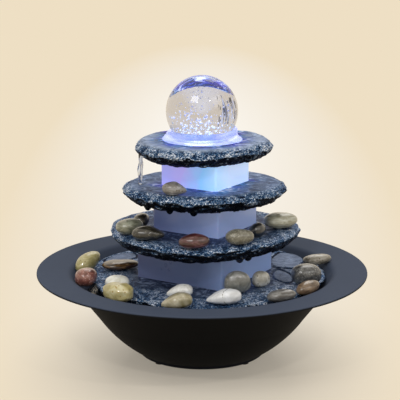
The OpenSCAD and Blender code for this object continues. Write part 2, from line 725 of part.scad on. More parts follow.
// A step with its holes, each given as [y, radius]
module step(i, holes) {
    color("#2f3742") translate([0, 0, step_zs[i]]) difference() {
        step_solid(i);
        for (h = holes) translate([0, h[0], -1]) cylinder(r = h[1], h = step_ts[i] + 2);
    }
}

module step_1() difference() {
    step(0, [[0, skirt_r + seat_room]]);
    translate([0, 0, top_z - seat_t]) cylinder(r = seat_r + seat_room, h = seat_t + 1);
}
module step_2() step(1, [[0, hose_hole_r], [lead_y, lead_hole_r]]);
module step_3() step(2, [[0, hose_hole_r], [lead_y, lead_hole_r]]);
module step_4() step(3, [[0, hose_hole_r], [plug_y, plug_collar_r + plug_room]]);

// ---- Frosted blocks
module block(i) {
    w = block_ws[i];
    color("#b9bfdc") translate([block_shift, 0, step_tops[i + 1]]) rotate(block_turn + 45) difference() {
        rounded_plate(w, w, block_hs[i], block_edge_r, -w / 2);
        translate([-w / 2 + block_wall, -w / 2 + block_wall, -1])
            cube([w - 2 * block_wall, w - 2 * block_wall, block_hs[i] + 2]);
    }
}
module block_1() block(0);
module block_2() block(1);
module block_3() block(2);

// ---- Hose, seat and ball
module hose() {
    low = pump_top + nozzle_flange_t + seat_gap;
    color("#dfe3e6") translate([0, 0, low]) difference() {
        cylinder(r = hose_r, h = skirt_z - low);
        translate([0, 0, -1]) cylinder(r = hose_bore_r, h = skirt_z - low + 2);
    }
}

module ball_seat() {
    color("#e6ecf5") difference() {
        union() {
            translate([0, 0, top_z - seat_t]) cylinder(r = seat_r, h = seat_t);
            translate([0, 0, skirt_z]) cylinder(r = skirt_r, h = skirt_h);
            translate([0, 0, skirt_z - spigot_h]) cylinder(r = spigot_r, h = spigot_h);
        }
        translate([0, 0, ball_z]) sphere(r = dish_r, $fn = 96);
        translate([0, 0, skirt_z - spigot_h - 1]) cylinder(r = water_way_r, h = skirt_h + spigot_h + 1);
    }
}

module glass_ball() {
    color("#dfe9f7") translate([0, 0, ball_z]) sphere(r = ball_r, $fn = 96);
}

// ---- Light under the seat
module lamp_case() {
    color("#f0f2f5") translate([0, 0, lamp_case_z]) difference() {
        cylinder(r = skirt_r, h = lamp_case_h);
        translate([0, 0, -1]) difference() {
            cylinder(r = board_out, h = lamp_case_h - lamp_case_wall + 1);
            cylinder(r = board_in, h = lamp_case_h + 1);
        }
        translate([0, 0, -1]) cylinder(r = hose_hole_r, h = lamp_case_h + 2);
    }
}

// Ring between the case's two walls
module case_ring(h) {
    difference() {
        cylinder(r = board_out, h = h);
        translate([0, 0, -1]) cylinder(r = board_in, h = h + 2);
    }
}

module lamp_cap() {
    color("#f0f2f5") translate([0, 0, lamp_cap_z]) case_ring(lamp_cap_t);
}

module lamp_board() {
    color("#e9ece6") translate([0, 0, board_z]) case_ring(board_t);
}

module lamps() {
    color("#cfe4ff") for (i = [0:lamp_count - 1])
        rotate(360 / lamp_count * i) translate([lamp_ring_r, 0, board_z + board_t]) {
            cylinder(r = lamp_r, h = 1.2);
            translate([0, 0, 1.2]) intersection() {
                sphere(r = lamp_r);
                cylinder(r = lamp_r + 1, h = lamp_r + 1);
            }
        }
}

module lamp_plug() {
    socket_top = pump_top + socket_h;
    color("#202024") translate([0, plug_y, 0]) {
        translate([0, 0, socket_top - socket_depth + seat_gap]) cylinder(r = plug_pin_r, h = socket_depth);
        translate([0, 0, socket_top + seat_gap]) cylinder(r = plug_collar_r, h = lamp_plug_h);
    }
}

// ---- Pebbles
// Half outline of an egg of unit half-width: a round end, a side of radius s and a nose of radius q
module egg_section(s, q) {
    nose = egg_nose(s, q);
    join = nose * s / (s - q);
    intersection() {
        circle(r = 1, $fn = 96);
        translate([0, -1]) square([1, 1]);
    }
    intersection() {
        translate([1 - s, 0]) circle(r = s, $fn = 144);
        square([1, join]);
    }
    intersection() {
        translate([0, nose]) circle(r = q, $fn = 96);
        translate([0, join]) square([1, 2]);
    }
}
function egg_nose(s, q) = sqrt((s - q) ^ 2 - (s - 1) ^ 2);

// Stone of the given length, width and height: an egg along X, cut flat underneath
module stone(size, s, q) {
    length = 1 + egg_nose(s, q) + q;
    scale([size.x / length, size.y / 2, size.z / 2]) intersection() {
        translate([1 - length / 2, 0, 0]) rotate([0, 90, 0]) rotate_extrude($fn = 96) egg_section(s, q);
        translate([-2, -2, -pebble_flat]) cube([4, 4, 4]);
    }
}

// Places the stone of one row. Every fourth one has the same side and nose.
module placed_pebble(row, k) {
    i = row[0];
    a = row[1];
    r = block_edge(i - 1, a) + row[2] * (step_edge(i, a) - block_edge(i - 1, a));
    seat = step_tops[i] + row[6] + pebble_flat * row[3].z / 2;
    side = 1.2 + 0.12 * (k % 4);
    nose = 0.92 - 0.05 * (k % 2);
    color(pebble_colours[search([row[7]], pebble_colours)[0]][1])
        translate([r * cos(a), r * sin(a), seat]) rotate([0, -row[5], row[4]]) stone(row[3], side, nose);
}

module pebble(k) {
    placed_pebble(pebbles[k - 1], k);
}

module rear_pebbles() {
    for (k = [0:len(rear_pebbles) - 1]) placed_pebble(rear_pebbles[k], k);
}

bowl();
rubber_feet();
cable_gland();
gland_washer();
gland_nut();
pump_stand();
pump_body();
volute_plate();
intake_cover();
intake_sponge();
pump_seal();
impeller();
rotor_magnet();
impeller_shaft();
shaft_bushes();
flow_slider();
suction_cups();
pump_nozzle();
lamp_socket();
pump_lead();
step_1();
step_2();
step_3();
step_4();
block_1();
block_2();
block_3();
hose();
ball_seat();
lamp_case();
lamp_board();
lamps();
lamp_cap();
lamp_lead();
lamp_plug();
glass_ball();
rear_pebbles();
for (i = [1:pebble_count]) pebble(i);
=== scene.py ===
import json
import math
import random

import bmesh
import bpy
import numpy as np
from mathutils import Matrix, Vector, noise

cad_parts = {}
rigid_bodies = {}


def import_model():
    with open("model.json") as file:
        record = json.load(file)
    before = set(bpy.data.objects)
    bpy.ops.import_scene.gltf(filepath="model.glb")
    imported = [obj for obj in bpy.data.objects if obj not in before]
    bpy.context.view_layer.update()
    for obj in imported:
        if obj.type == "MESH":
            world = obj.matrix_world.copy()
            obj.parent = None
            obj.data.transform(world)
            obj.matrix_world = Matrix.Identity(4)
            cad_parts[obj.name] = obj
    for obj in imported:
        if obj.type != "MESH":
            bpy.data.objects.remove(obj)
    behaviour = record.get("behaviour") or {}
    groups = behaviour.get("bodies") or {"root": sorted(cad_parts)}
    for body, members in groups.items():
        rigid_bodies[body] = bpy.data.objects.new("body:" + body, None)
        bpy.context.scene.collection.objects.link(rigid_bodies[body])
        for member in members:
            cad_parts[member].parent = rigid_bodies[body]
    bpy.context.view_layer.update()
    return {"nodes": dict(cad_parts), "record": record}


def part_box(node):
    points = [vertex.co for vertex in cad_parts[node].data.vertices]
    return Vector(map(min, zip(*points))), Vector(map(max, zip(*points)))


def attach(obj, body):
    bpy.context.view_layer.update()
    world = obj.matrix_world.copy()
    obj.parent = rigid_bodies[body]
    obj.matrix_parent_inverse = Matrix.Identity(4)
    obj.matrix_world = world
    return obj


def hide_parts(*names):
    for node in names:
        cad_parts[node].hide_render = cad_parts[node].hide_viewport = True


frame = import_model()

MM = 0.001
STEPS = ["step_1", "step_2", "step_3", "step_4"]      # from the top one down
STEP_TOPS = [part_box(name)[1].z for name in STEPS]

ball_low, ball_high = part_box("glass_ball")
BALL = (ball_low + ball_high) / 2
BALL_R = (ball_high.z - ball_low.z) / 2
RIM_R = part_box("bowl")[1].x
OUTSIDE = 0.16                                        # farther out than the rim, in metres
BLOCK_TURN = 58                                       # degrees that the blocks are turned


# ---- Colours and shader nodes

def linear(hex_colour):
    """An sRGB hex colour as linear red, green, blue and alpha."""
    parts = [int(hex_colour[i:i + 2], 16) / 255 for i in (1, 3, 5)]
    return [*(c / 12.92 if c <= 0.04045 else ((c + 0.055) / 1.055) ** 2.4 for c in parts), 1.0]


def per(mm):
    """Texture scale at which one feature is about that many millimetres wide."""
    return 1 / (mm * MM)


def add(tree, kind, inputs=None, stops=None, **settings):
    """Adds a shader node and sets its fields, then sets or links its sockets. Stops are a ramp's."""
    made = tree.nodes.new("ShaderNode" + kind)
    for field, value in settings.items():
        setattr(made, field, value)
    for socket, value in (inputs or {}).items():
        if isinstance(value, bpy.types.NodeSocket):
            tree.links.new(value, made.inputs[socket])
        else:
            made.inputs[socket].default_value = value
    if stops:
        ramp = made.color_ramp
        while len(ramp.elements) < len(stops):
            ramp.elements.new(1.0)
        for element, (place, colour) in zip(ramp.elements, stops):
            element.position = place
            element.color = linear(colour)
    return made


def start(name, **sockets):
    """A new material, its node tree, its Principled shader and its object coordinates."""
    made = bpy.data.materials.new(name)
    made.use_nodes = True
    tree = made.node_tree
    shader = tree.nodes["Principled BSDF"]
    for socket, value in sockets.items():
        value = linear(value) if isinstance(value, str) else value
        shader.inputs[socket.replace("_", " ")].default_value = value
    place = add(tree, "TexCoord").outputs["Object"]
    return made, tree, shader, place


def link(tree, output, shader, socket):
    tree.links.new(output, shader.inputs[socket])


def distance(tree, place, centre, stretch):
    """How far a place lies from a centre, with each axis stretched or, at 0, left out."""
    moved = add(tree, "VectorMath", {0: place, 1: centre}, operation="SUBTRACT")
    scaled = add(tree, "VectorMath", {0: moved.outputs[0], 1: stretch}, operation="MULTIPLY")
    return add(tree, "VectorMath", {0: scaled.outputs[0]}, operation="LENGTH").outputs["Value"]


def shows_background(tree):
    """1 for a ray from the eye, a reflection or a clear piece, and 0 for a ray that carries light."""
    path = add(tree, "LightPath")
    seen = add(tree, "Math", {0: path.outputs["Is Camera Ray"], 1: path.outputs["Is Glossy Ray"]},
               operation="MAXIMUM")
    return add(tree, "Math", {0: seen.outputs[0], 1: path.outputs["Is Transmission Ray"]},
               operation="MAXIMUM").outputs[0]


# ---- Materials

def cast_resin():
    """Charcoal cast resin, rubbed matt, with painted light and shade: blue-grey where it faces up, with
    lighter painted patches, and painted nearly black where it faces down.
    """
    made, tree, shader, place = start("cast_resin", Roughness=0.72, IOR=1.5, Specular_IOR_Level=0.08)
    facing = add(tree, "SeparateXYZ", {0: add(tree, "TexCoord").outputs["Normal"]}).outputs["Z"]
    cloud = add(tree, "TexNoise", {"Vector": place, "Scale": per(30), "Detail": 4.0, "Roughness": 0.6})
    # Painted shade by facing: dark where the surface faces down, lighter blue-grey where it faces up.
    tilt = add(tree, "MapRange", {"Value": facing, "From Min": -0.35, "From Max": 0.55})
    tone = add(tree, "ValToRGB", {"Fac": tilt.outputs[0]},
               stops=[(0.0, "#060607"), (0.35, "#0c0c0e"), (1.0, "#454d5d")])
    # Painted light: lighter patches on the faces that look up.
    lift = add(tree, "Math", {0: tilt.outputs[0], 1: 0.35}, operation="MULTIPLY")
    fade = add(tree, "Math", {0: lift.outputs[0], 1: cloud.outputs["Fac"]}, operation="MULTIPLY")
    torn_end_or_painted_top_light = add(tree, "Mix", {0: fade.outputs[0], 6: tone.outputs["Color"], 7: linear("#525c70")},
               data_type="RGBA")
    grain = add(tree, "TexNoise", {"Vector": place, "Scale": per(1.1), "Detail": 3.0})
    bump = add(tree, "Bump", {"Height": grain.outputs["Fac"], "Strength": 0.25, "Distance": 0.25 * MM})
    link(tree, torn_end_or_painted_top_light.outputs[2], shader, "Base Color")
    link(tree, bump.outputs[0], shader, "Normal")
    return made


def wet_slate(name, pool, streak_reflection, glint, glow=None):
    """Split slate under running water: a smooth film over grey mica with painted reflections in its
    ripples, and chipped stone with painted glints on its ridges and painted shade in its hollows and
    underside.
    """
    made, tree, shader, place = start(f"wet_slate_{name}", Roughness=0.38, IOR=1.5, Metallic=0.5,
                                      Specular_IOR_Level=0.2, Specular_Tint="#8ea6d8", Coat_Weight=0.08,
                                      Coat_Roughness=0.05, Coat_IOR=1.33)
    rough = add(tree, "Attribute", attribute_name="chipped").outputs["Fac"]
    height = add(tree, "Attribute", attribute_name="ridge").outputs["Fac"]
    plate = add(tree, "Attribute", attribute_name="plate").outputs["Fac"]
    layered = add(tree, "VectorMath", {0: place, 1: (1.0, 1.0, 1.8)}, operation="MULTIPLY")
    fine = add(tree, "TexNoise", {"Vector": layered.outputs[0], "Scale": per(1.4), "Detail": 3.0,
                                  "Roughness": 0.7, "Distortion": 0.5})
    ripple = add(tree, "TexNoise", {"Vector": place, "Scale": per(11), "Detail": 6.0, "Roughness": 0.66,
                                    "Distortion": 1.6})
    # Painted reflections in the rippled water film: the pool tone is its dark part, the streak and pale
    # tones are reflected light.
    water = add(tree, "ValToRGB", {"Fac": ripple.outputs["Fac"]},
                stops=[(0.36, pool), (0.52, streak_reflection), (0.68, "#b0c0da")])
    # Painted reflection: the smooth plates of the lowest step show lighter reflected light.
    painted_leaf_reflection = add(tree, "ValToRGB", {"Fac": ripple.outputs["Fac"]}, stops=[(0.3, "#4a5467"), (0.7, "#8c9ab3")])
    film = add(tree, "Mix", {0: plate, 6: water.outputs["Color"], 7: painted_leaf_reflection.outputs["Color"]},
               data_type="RGBA")
    # Painted glints on the chips' ridges and painted shade in their hollows.
    crest = add(tree, "Math", {0: height, 1: glint, 2: fine.outputs["Fac"]}, operation="MULTIPLY_ADD")
    stone = add(tree, "ValToRGB", {"Fac": crest.outputs[0]},
                stops=[(0.48, "#060a12"), (0.64, "#1b3152"), (0.75, "#5580ae"), (0.83, "#f2f7ff")])
    skin = add(tree, "Mix", {0: rough, 6: film.outputs[2], 7: stone.outputs["Color"]}, data_type="RGBA")
    facing = add(tree, "SeparateXYZ", {0: add(tree, "TexCoord").outputs["Normal"]}).outputs["Z"]
    # Painted shade: the faces that look down turn near black.
    under = add(tree, "MapRange", {"Value": facing, "From Min": -0.15, "From Max": -0.55})
    dark = add(tree, "Mix", {0: under.outputs[0], 6: skin.outputs[2], 7: linear("#08090b")},
               data_type="RGBA")
    flaked = add(tree, "Bump", {"Height": fine.outputs["Fac"], "Strength": 1.0, "Distance": 1.3 * MM})
    wave = add(tree, "Bump", {"Height": ripple.outputs["Fac"], "Strength": 0.7, "Distance": 2 * MM})
    relief = add(tree, "Mix", {0: rough, 4: wave.outputs[0], 5: flaked.outputs[0]}, data_type="VECTOR")
    link(tree, dark.outputs[2], shader, "Base Color")
    link(tree, relief.outputs[1], shader, "Normal")
    link(tree, relief.outputs[1], shader, "Coat Normal")
    if glow:
        lit_film(tree, shader, place, facing, dark.outputs[2], **glow)
    return made


# Where the painted lamp light collects in the water behind the ball: its middle, its edge and its full
# part, in mm
POOL_Y, POOL_EDGE, POOL_FULL = 52, 52, 22


def lit_film(tree, shader, place, facing, skin, colour, inner, outer, strength, block=None, behind=0.0):
    """Painted lamp light on a step's water, as if the water carried it out from a block's faces or from the
    ball's seat.

    The painted light is full at the inner distance and gone at the outer one, in mm. Behind is how strong
    it is in the pool behind the ball. Under the painted light the skin is painted dark, and the crests of
    the water get painted white glints.
    """
    if block:
        low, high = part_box(block)
        middle = (low + high) / 2
        turned = add(tree, "VectorRotate", {"Vector": place, "Center": middle, "Axis": (0, 0, 1),
                                            "Angle": -math.radians(BLOCK_TURN)})
        shifted = add(tree, "VectorMath", {0: turned.outputs[0], 1: middle}, operation="SUBTRACT")
        half = add(tree, "VectorMath", {0: shifted.outputs[0]}, operation="ABSOLUTE")
        sides = add(tree, "SeparateXYZ", {0: half.outputs[0]})
        away = add(tree, "Math", {0: sides.outputs["X"], 1: sides.outputs["Y"]},
                   operation="MAXIMUM").outputs[0]
    else:
        away = distance(tree, place, (0, 0, 0), (1, 1, 0))
    near = add(tree, "MapRange", {"Value": away, "From Min": outer * MM, "From Max": inner * MM,
                                  "To Max": strength}, interpolation_type="SMOOTHSTEP")
    pool = distance(tree, place, (0, POOL_Y * MM, 0), (1, 1, 0))
    back = add(tree, "MapRange", {"Value": pool, "From Min": POOL_EDGE * MM, "From Max": POOL_FULL * MM,
                                  "To Max": behind}, interpolation_type="SMOOTHSTEP")
    patch = add(tree, "TexNoise", {"Vector": place, "Scale": per(9), "Detail": 3.0, "Distortion": 1.2})
    uneven = add(tree, "MapRange", {"Value": patch.outputs["Fac"], "From Min": 0.4, "From Max": 0.66,
                                    "To Min": 0.15, "To Max": 1.5})
    upward = add(tree, "MapRange", {"Value": facing, "From Min": 0.2, "From Max": 0.7})
    both = add(tree, "Math", {0: near.outputs[0], 1: back.outputs[0]}, operation="ADD")
    level = add(tree, "Math", {0: both.outputs[0], 1: upward.outputs[0]}, operation="MULTIPLY")
    moving = add(tree, "Math", {0: level.outputs[0], 1: uneven.outputs[0]}, operation="MULTIPLY")
    hue = add(tree, "TexNoise", {"Vector": place, "Scale": per(28), "Detail": 1.0})
    tint = add(tree, "ValToRGB", {"Fac": hue.outputs["Fac"]},
               stops=[(0.4, colour), (0.48, "#2450f0"), (0.58, "#1c8ce0")])
    # Painted glints: the brightest patches of the water turn white.
    spark = add(tree, "MapRange", {"Value": patch.outputs["Fac"], "From Min": 0.58, "From Max": 0.64})
    shown = add(tree, "Mix", {0: spark.outputs[0], 6: tint.outputs["Color"], 7: linear("#dfe9ff")},
                data_type="RGBA")
    # Painted shade under the glow: the skin turns dark blue where the painted light is strong.
    glow_darkening = add(tree, "MapRange", {"Value": level.outputs[0], "From Max": 0.5})
    deep = add(tree, "Mix", {0: glow_darkening.outputs[0], 6: skin, 7: linear("#060a20")}, data_type="RGBA")
    link(tree, deep.outputs[2], shader, "Base Color")
    link(tree, shown.outputs[2], shader, "Emission Color")
    link(tree, moving.outputs[0], shader, "Emission Strength")


def frosted_acrylic(name, left, middle, right, glow, node, patch=None):
    """Frosted acrylic with a painted glow for lamps behind it: soft, even skin whose painted lamp colour
    shifts across its width, in its base colour and its glow.

    Patch is a painted tint of its own in the left part. The painted glow fades a little towards the top.
    """
    made, tree, shader, place = start(name, Roughness=0.42, IOR=1.49, Subsurface_Weight=0.35,
                                      Subsurface_Scale=2 * MM, Coat_Weight=0.4, Coat_Roughness=0.12)
    low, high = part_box(node)
    cloud = add(tree, "TexNoise", {"Vector": place, "Scale": per(16), "Detail": 2.0})
    across = add(tree, "SeparateXYZ", {0: place}).outputs["X"]
    shift = add(tree, "Math", {0: cloud.outputs["Fac"], 1: 14 * MM, 2: across}, operation="MULTIPLY_ADD")
    share = add(tree, "MapRange", {"Value": shift.outputs[0], "From Min": low.x + 7 * MM,
                                   "From Max": high.x + 7 * MM})
    tint = add(tree, "ValToRGB", {"Fac": share.outputs[0]},
               stops=[(0.06, left), *([(0.26, patch)] if patch else []), (0.45, middle), (0.8, right)])
    fade = add(tree, "MapRange", {"Value": add(tree, "SeparateXYZ", {0: place}).outputs["Z"],
                                  "From Min": low.z, "From Max": high.z, "To Min": 1.0, "To Max": 0.86})
    level = add(tree, "Math", {0: fade.outputs[0], 1: glow}, operation="MULTIPLY")
    grain = add(tree, "TexNoise", {"Vector": place, "Scale": per(0.9), "Detail": 2.0})
    bump = add(tree, "Bump", {"Height": grain.outputs["Fac"], "Strength": 0.12, "Distance": 0.1 * MM})
    link(tree, tint.outputs["Color"], shader, "Base Color")
    link(tree, tint.outputs["Color"], shader, "Emission Color")
    link(tree, level.outputs[0], shader, "Emission Strength")
    link(tree, bump.outputs[0], shader, "Normal")
    return made


def bubbled_glass():
    """Cast crystal glass: clear, with a faint blue cast. Its bubbles glow with painted lamp light from
    below, and their rims are painted dark like reflections.
    """
    made, tree, shader, place = start("bubbled_glass", Roughness=0.0, IOR=1.58, Transmission_Weight=1.0)
    wall = add(tree, "Attribute", attribute_name="bubble").outputs["Fac"]
    # Painted reflection: bubble walls darken to violet and deep blue at their rims.
    rim = add(tree, "LayerWeight", {"Blend": 0.45}).outputs["Facing"]
    ring = add(tree, "ValToRGB", {"Fac": rim},
               stops=[(0.35, "#e9ecff"), (0.62, "#7d80c8"), (0.9, "#23264a")])
    colour = add(tree, "Mix", {0: wall, 6: linear("#d8dbea"), 7: ring.outputs["Color"]}, data_type="RGBA")
    link(tree, colour.outputs[2], shader, "Base Color")
    # Painted lamp light: bubble walls glow in blue, cyan and white glints, more strongly low in the ball.
    height = add(tree, "SeparateXYZ", {0: place}).outputs["Z"]
    low = add(tree, "MapRange", {"Value": height, "From Min": BALL.z + 4 * MM, "From Max": BALL.z - 16 * MM,
                                 "To Min": 0.05, "To Max": 0.8})
    hue = add(tree, "TexNoise", {"Vector": place, "Scale": per(2.2), "Detail": 1.0})
    glint = add(tree, "ValToRGB", {"Fac": hue.outputs["Fac"]},
                stops=[(0.38, "#000000"), (0.43, "#5a70d8"), (0.48, "#cfe6ff"), (0.53, "#eefbff"),
                       (0.58, "#8ccfe8"), (0.64, "#0c1420")])
    lit = add(tree, "Math", {0: low.outputs[0], 1: wall}, operation="MULTIPLY")
    link(tree, glint.outputs["Color"], shader, "Emission Color")
    link(tree, lit.outputs[0], shader, "Emission Strength")
    swirl = add(tree, "TexNoise", {"Vector": place, "Scale": per(12), "Detail": 1.0})
    bump = add(tree, "Bump", {"Height": swirl.outputs["Fac"], "Strength": 0.06, "Distance": 0.3 * MM})
    link(tree, bump.outputs[0], shader, "Normal")
    return made


def running_water(name, clear, tint, glow, roughness=0.02, specular=0.5):
    """Clear water that moves: a rippled skin, and a painted glow for a little of the lamps' light caught in
    it.
    """
    made, tree, shader, place = start(name, Base_Color=clear, Roughness=roughness, IOR=1.33,
                                      Transmission_Weight=1.0, Emission_Color=tint, Emission_Strength=glow,
                                      Specular_IOR_Level=specular)
    ripple = add(tree, "TexNoise", {"Vector": place, "Scale": per(4), "Detail": 3.0, "Distortion": 0.8})
    bump = add(tree, "Bump", {"Height": ripple.outputs["Fac"], "Strength": 0.4, "Distance": 0.6 * MM})
    link(tree, bump.outputs[0], shader, "Normal")
    return made


def tumbled_stone(name, low, middle, high, grain_mm=3.0, specks=None, vein=None, stretch=1.0, gloss=0.2):
    """A tumbled river pebble, wet: layered tones along it, specks or a vein, and beads in a clear film."""
    made, tree, shader, place = start(name, Roughness=gloss + 0.12, IOR=1.54, Coat_Weight=0.9,
                                      Coat_Roughness=0.03, Coat_IOR=1.4)
    laid = add(tree, "Mapping", {"Vector": place, "Rotation": (0.35, 0.2, 0.6),
                                 "Scale": (1.0, 1.0, stretch)})
    layers = add(tree, "TexNoise", {"Vector": laid.outputs[0], "Scale": per(grain_mm * 3), "Detail": 7.0,
                                    "Roughness": 0.62, "Distortion": 0.7})
    tone = add(tree, "ValToRGB", {"Fac": layers.outputs["Fac"]},
               stops=[(0.32, low), (0.5, middle), (0.68, high)])
    colour = tone.outputs["Color"]
    if specks:
        dots = add(tree, "TexVoronoi", {"Vector": place, "Scale": per(grain_mm), "Randomness": 1.0})
        spot = add(tree, "MapRange", {"Value": dots.outputs["Distance"], "From Min": 0.3, "From Max": 0.18})
        patch = add(tree, "Math", {0: layers.outputs["Fac"], 1: 0.5}, operation="GREATER_THAN")
        shown = add(tree, "Math", {0: spot.outputs[0], 1: patch.outputs[0]}, operation="MULTIPLY")
        mixed = add(tree, "Mix", {0: shown.outputs[0], 6: colour, 7: linear(specks)}, data_type="RGBA")
        colour = mixed.outputs[2]
    if vein:
        # a wave texture's bands lie tau / 20 apart at a scale of 1
        crack = add(tree, "TexWave", {"Vector": laid.outputs[0], "Scale": per(26) * math.tau / 20,
                                      "Distortion": 5.0, "Detail": 2.0})
        line = add(tree, "MapRange", {"Value": crack.outputs["Fac"], "From Min": 0.9955, "From Max": 1.0})
        part = add(tree, "MapRange", {"Value": layers.outputs["Fac"], "From Min": 0.48, "From Max": 0.56})
        shown = add(tree, "Math", {0: line.outputs[0], 1: part.outputs[0]}, operation="MULTIPLY")
        mixed = add(tree, "Mix", {0: shown.outputs[0], 6: colour, 7: linear(vein)}, data_type="RGBA")
        colour = mixed.outputs[2]
    pits = add(tree, "TexNoise", {"Vector": place, "Scale": per(1.4), "Detail": 3.0})
    bump = add(tree, "Bump", {"Height": pits.outputs["Fac"], "Strength": 0.25, "Distance": 0.25 * MM})
    bead = add(tree, "TexVoronoi", {"Vector": place, "Scale": per(4.5), "Randomness": 1.0})
    dome = add(tree, "MapRange", {"Value": bead.outputs["Distance"], "From Min": 0.24, "From Max": 0.0},
               interpolation_type="SMOOTHERSTEP")
    film = add(tree, "Bump", {"Height": dome.outputs[0], "Normal": bump.outputs[0], "Strength": 0.9,
                              "Distance": 1.0 * MM})
    link(tree, colour, shader, "Base Color")
    link(tree, bump.outputs[0], shader, "Normal")
    link(tree, film.outputs[0], shader, "Coat Normal")
    return made


def moulded(name, colour, roughness=0.4, grain_mm=0.6, depth_mm=0.05, **sockets):
    """Moulded plastic or rubber: an even colour that mottles slightly, and a fine spark-eroded grain."""
    made, tree, shader, place = start(name, Roughness=roughness, **sockets)
    cloud = add(tree, "TexNoise", {"Vector": place, "Scale": per(14), "Detail": 3.0})
    dark = [0.8 * c for c in linear(colour)[:3]] + [1.0]
    tone = add(tree, "Mix", {0: cloud.outputs["Fac"], 6: dark, 7: linear(colour)}, data_type="RGBA")
    grain = add(tree, "TexNoise", {"Vector": place, "Scale": per(grain_mm), "Detail": 2.0})
    bump = add(tree, "Bump", {"Height": grain.outputs["Fac"], "Strength": 0.3, "Distance": depth_mm * MM})
    link(tree, tone.outputs[2], shader, "Base Color")
    link(tree, bump.outputs[0], shader, "Normal")
    return made


def backdrop():
    """Cream paper that glows with a painted pool of light, palest straight behind the fountain; round the
    foot it is lit paper in real shade, which a share of the painted glow lightens.
    """
    made, tree, shader, place = start("cream_paper", Roughness=0.9, Specular_IOR_Level=0.0)
    away = distance(tree, place, (0.0, 1.0, 0.0), (1.15, 0.2, 1.0))
    # Painted pool of light: the paper's glow is palest straight behind the fountain and creamier out to the
    # sides and the front.
    tone = add(tree, "ValToRGB", {"Fac": away},
               stops=[(0.06, "#faf5ec"), (0.19, "#f3eadb"), (0.3, "#eedfc4")])
    foot = distance(tree, place, (0.0, -0.08, 0.0), (1.8, 1.0, 1.0))
    # How much painted glow replaces the lit paper: a quarter at the foot, which lightens the real shadow,
    # and all of it farther off.
    shade = add(tree, "ValToRGB", {"Fac": foot},
                stops=[(0.05, "#8a8a8a"), (0.12, "#949494"), (0.21, "#cccccc"), (0.3, "#f5f5f5"),
                       (0.36, "#ffffff")])
    share = add(tree, "Math", {0: shows_background(tree), 1: shade.outputs["Color"]}, operation="MULTIPLY")
    glow = add(tree, "Emission", {"Color": tone.outputs["Color"], "Strength": 1.0})
    blend = add(tree, "MixShader", {0: share.outputs[0], 1: shader.outputs[0], 2: glow.outputs[0]})
    link(tree, tone.outputs["Color"], shader, "Base Color")
    link(tree, blend.outputs[0], tree.nodes["Material Output"], "Surface")
    return made


# The cards stand on the floor behind the ball: turn from straight back in degrees, and width in metres
CARDS = [(25, 0.09), (41, 0.12), (60, 0.12)]
CARD_AWAY, CARD_HEIGHT = 0.4, 0.3


def dark_card():
    """Torn card that only glass and water show, glowing in painted streaks of slate blue and white, so that
    clear pieces get painted dark streaks and glints.
    """
    made, tree, _, place = start("dark_card", Roughness=0.9)
    drawn = add(tree, "VectorMath", {0: place, 1: (1.0, 1.0, 0.12)}, operation="MULTIPLY")
    streaks = add(tree, "TexNoise", {"Vector": drawn.outputs[0], "Scale": per(20), "Detail": 2.0})
    tone = add(tree, "ValToRGB", {"Fac": streaks.outputs["Fac"]},
               stops=[(0.42, "#161d2c"), (0.52, "#66718f"), (0.6, "#e4eafa")])
    height = add(tree, "SeparateXYZ", {0: place}).outputs["Z"]
    middle = add(tree, "Math", {0: height, 1: CARD_HEIGHT / 2}, operation="SUBTRACT")
    end = add(tree, "Math", {0: middle.outputs[0]}, operation="ABSOLUTE")
    torn_end_or_painted_top_light = add(tree, "MapRange", {"Value": end.outputs[0], "From Min": CARD_HEIGHT * 0.25,
                                  "From Max": CARD_HEIGHT * 0.5, "To Min": 0.47, "To Max": 0.62})
    long = add(tree, "VectorMath", {0: place, 1: (1.0, 1.0, 0.3)}, operation="MULTIPLY")
    torn = add(tree, "TexNoise", {"Vector": long.outputs[0], "Scale": per(34), "Detail": 3.0})
    left = add(tree, "Math", {0: torn.outputs["Fac"], 1: torn_end_or_painted_top_light.outputs[0]}, operation="GREATER_THAN")
    through = add(tree, "LightPath").outputs["Is Transmission Ray"]
    shown = add(tree, "Math", {0: left.outputs[0], 1: through}, operation="MULTIPLY")
    clear = add(tree, "BsdfTransparent")
    glow = add(tree, "Emission", {"Color": tone.outputs["Color"], "Strength": 1.0})
    blend = add(tree, "MixShader", {0: shown.outputs[0], 1: clear.outputs[0], 2: glow.outputs[0]})
    link(tree, blend.outputs[0], tree.nodes["Material Output"], "Surface")
    return made


# ---- Mesh tools

def piece(name, mesh, material, body):
    """Puts a finished mesh in the scene as a named smooth piece that rides on a body."""
    made = bpy.data.objects.new(name, mesh)
    bpy.context.scene.collection.objects.link(made)
    mesh.materials.clear()
    mesh.materials.append(material)
    mesh.polygons.foreach_set("use_smooth", [True] * len(mesh.polygons))
    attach(made, body)
    return made


def new_mesh(name, shape):
    """A mesh from a bmesh, which is used up."""
    mesh = bpy.data.meshes.new(name)
    shape.to_mesh(mesh)
    shape.free()
    return mesh


def edited(mesh, change):
    """Runs a change on a mesh as a bmesh, and gives the mesh back."""
    shape = bmesh.new()
    shape.from_mesh(mesh)
    change(shape)
    shape.to_mesh(mesh)
    shape.free()
    return mesh


def remeshed(node, voxel_mm):
    """A copy of a CAD node's mesh with even faces of about the given size."""
    source = bpy.data.objects.new(node + "_copy", frame["nodes"][node].data.copy())
    bpy.context.scene.collection.objects.link(source)
    edited(source.data, lambda shape: bmesh.ops.remove_doubles(shape, verts=shape.verts, dist=0.001 * MM))
    remesh = source.modifiers.new("even_faces", "REMESH")
    remesh.mode = "VOXEL"
    remesh.voxel_size = voxel_mm * MM
    ready = source.evaluated_get(bpy.context.evaluated_depsgraph_get())
    mesh = bpy.data.meshes.new_from_object(ready)
    bpy.data.objects.remove(source)
    return mesh


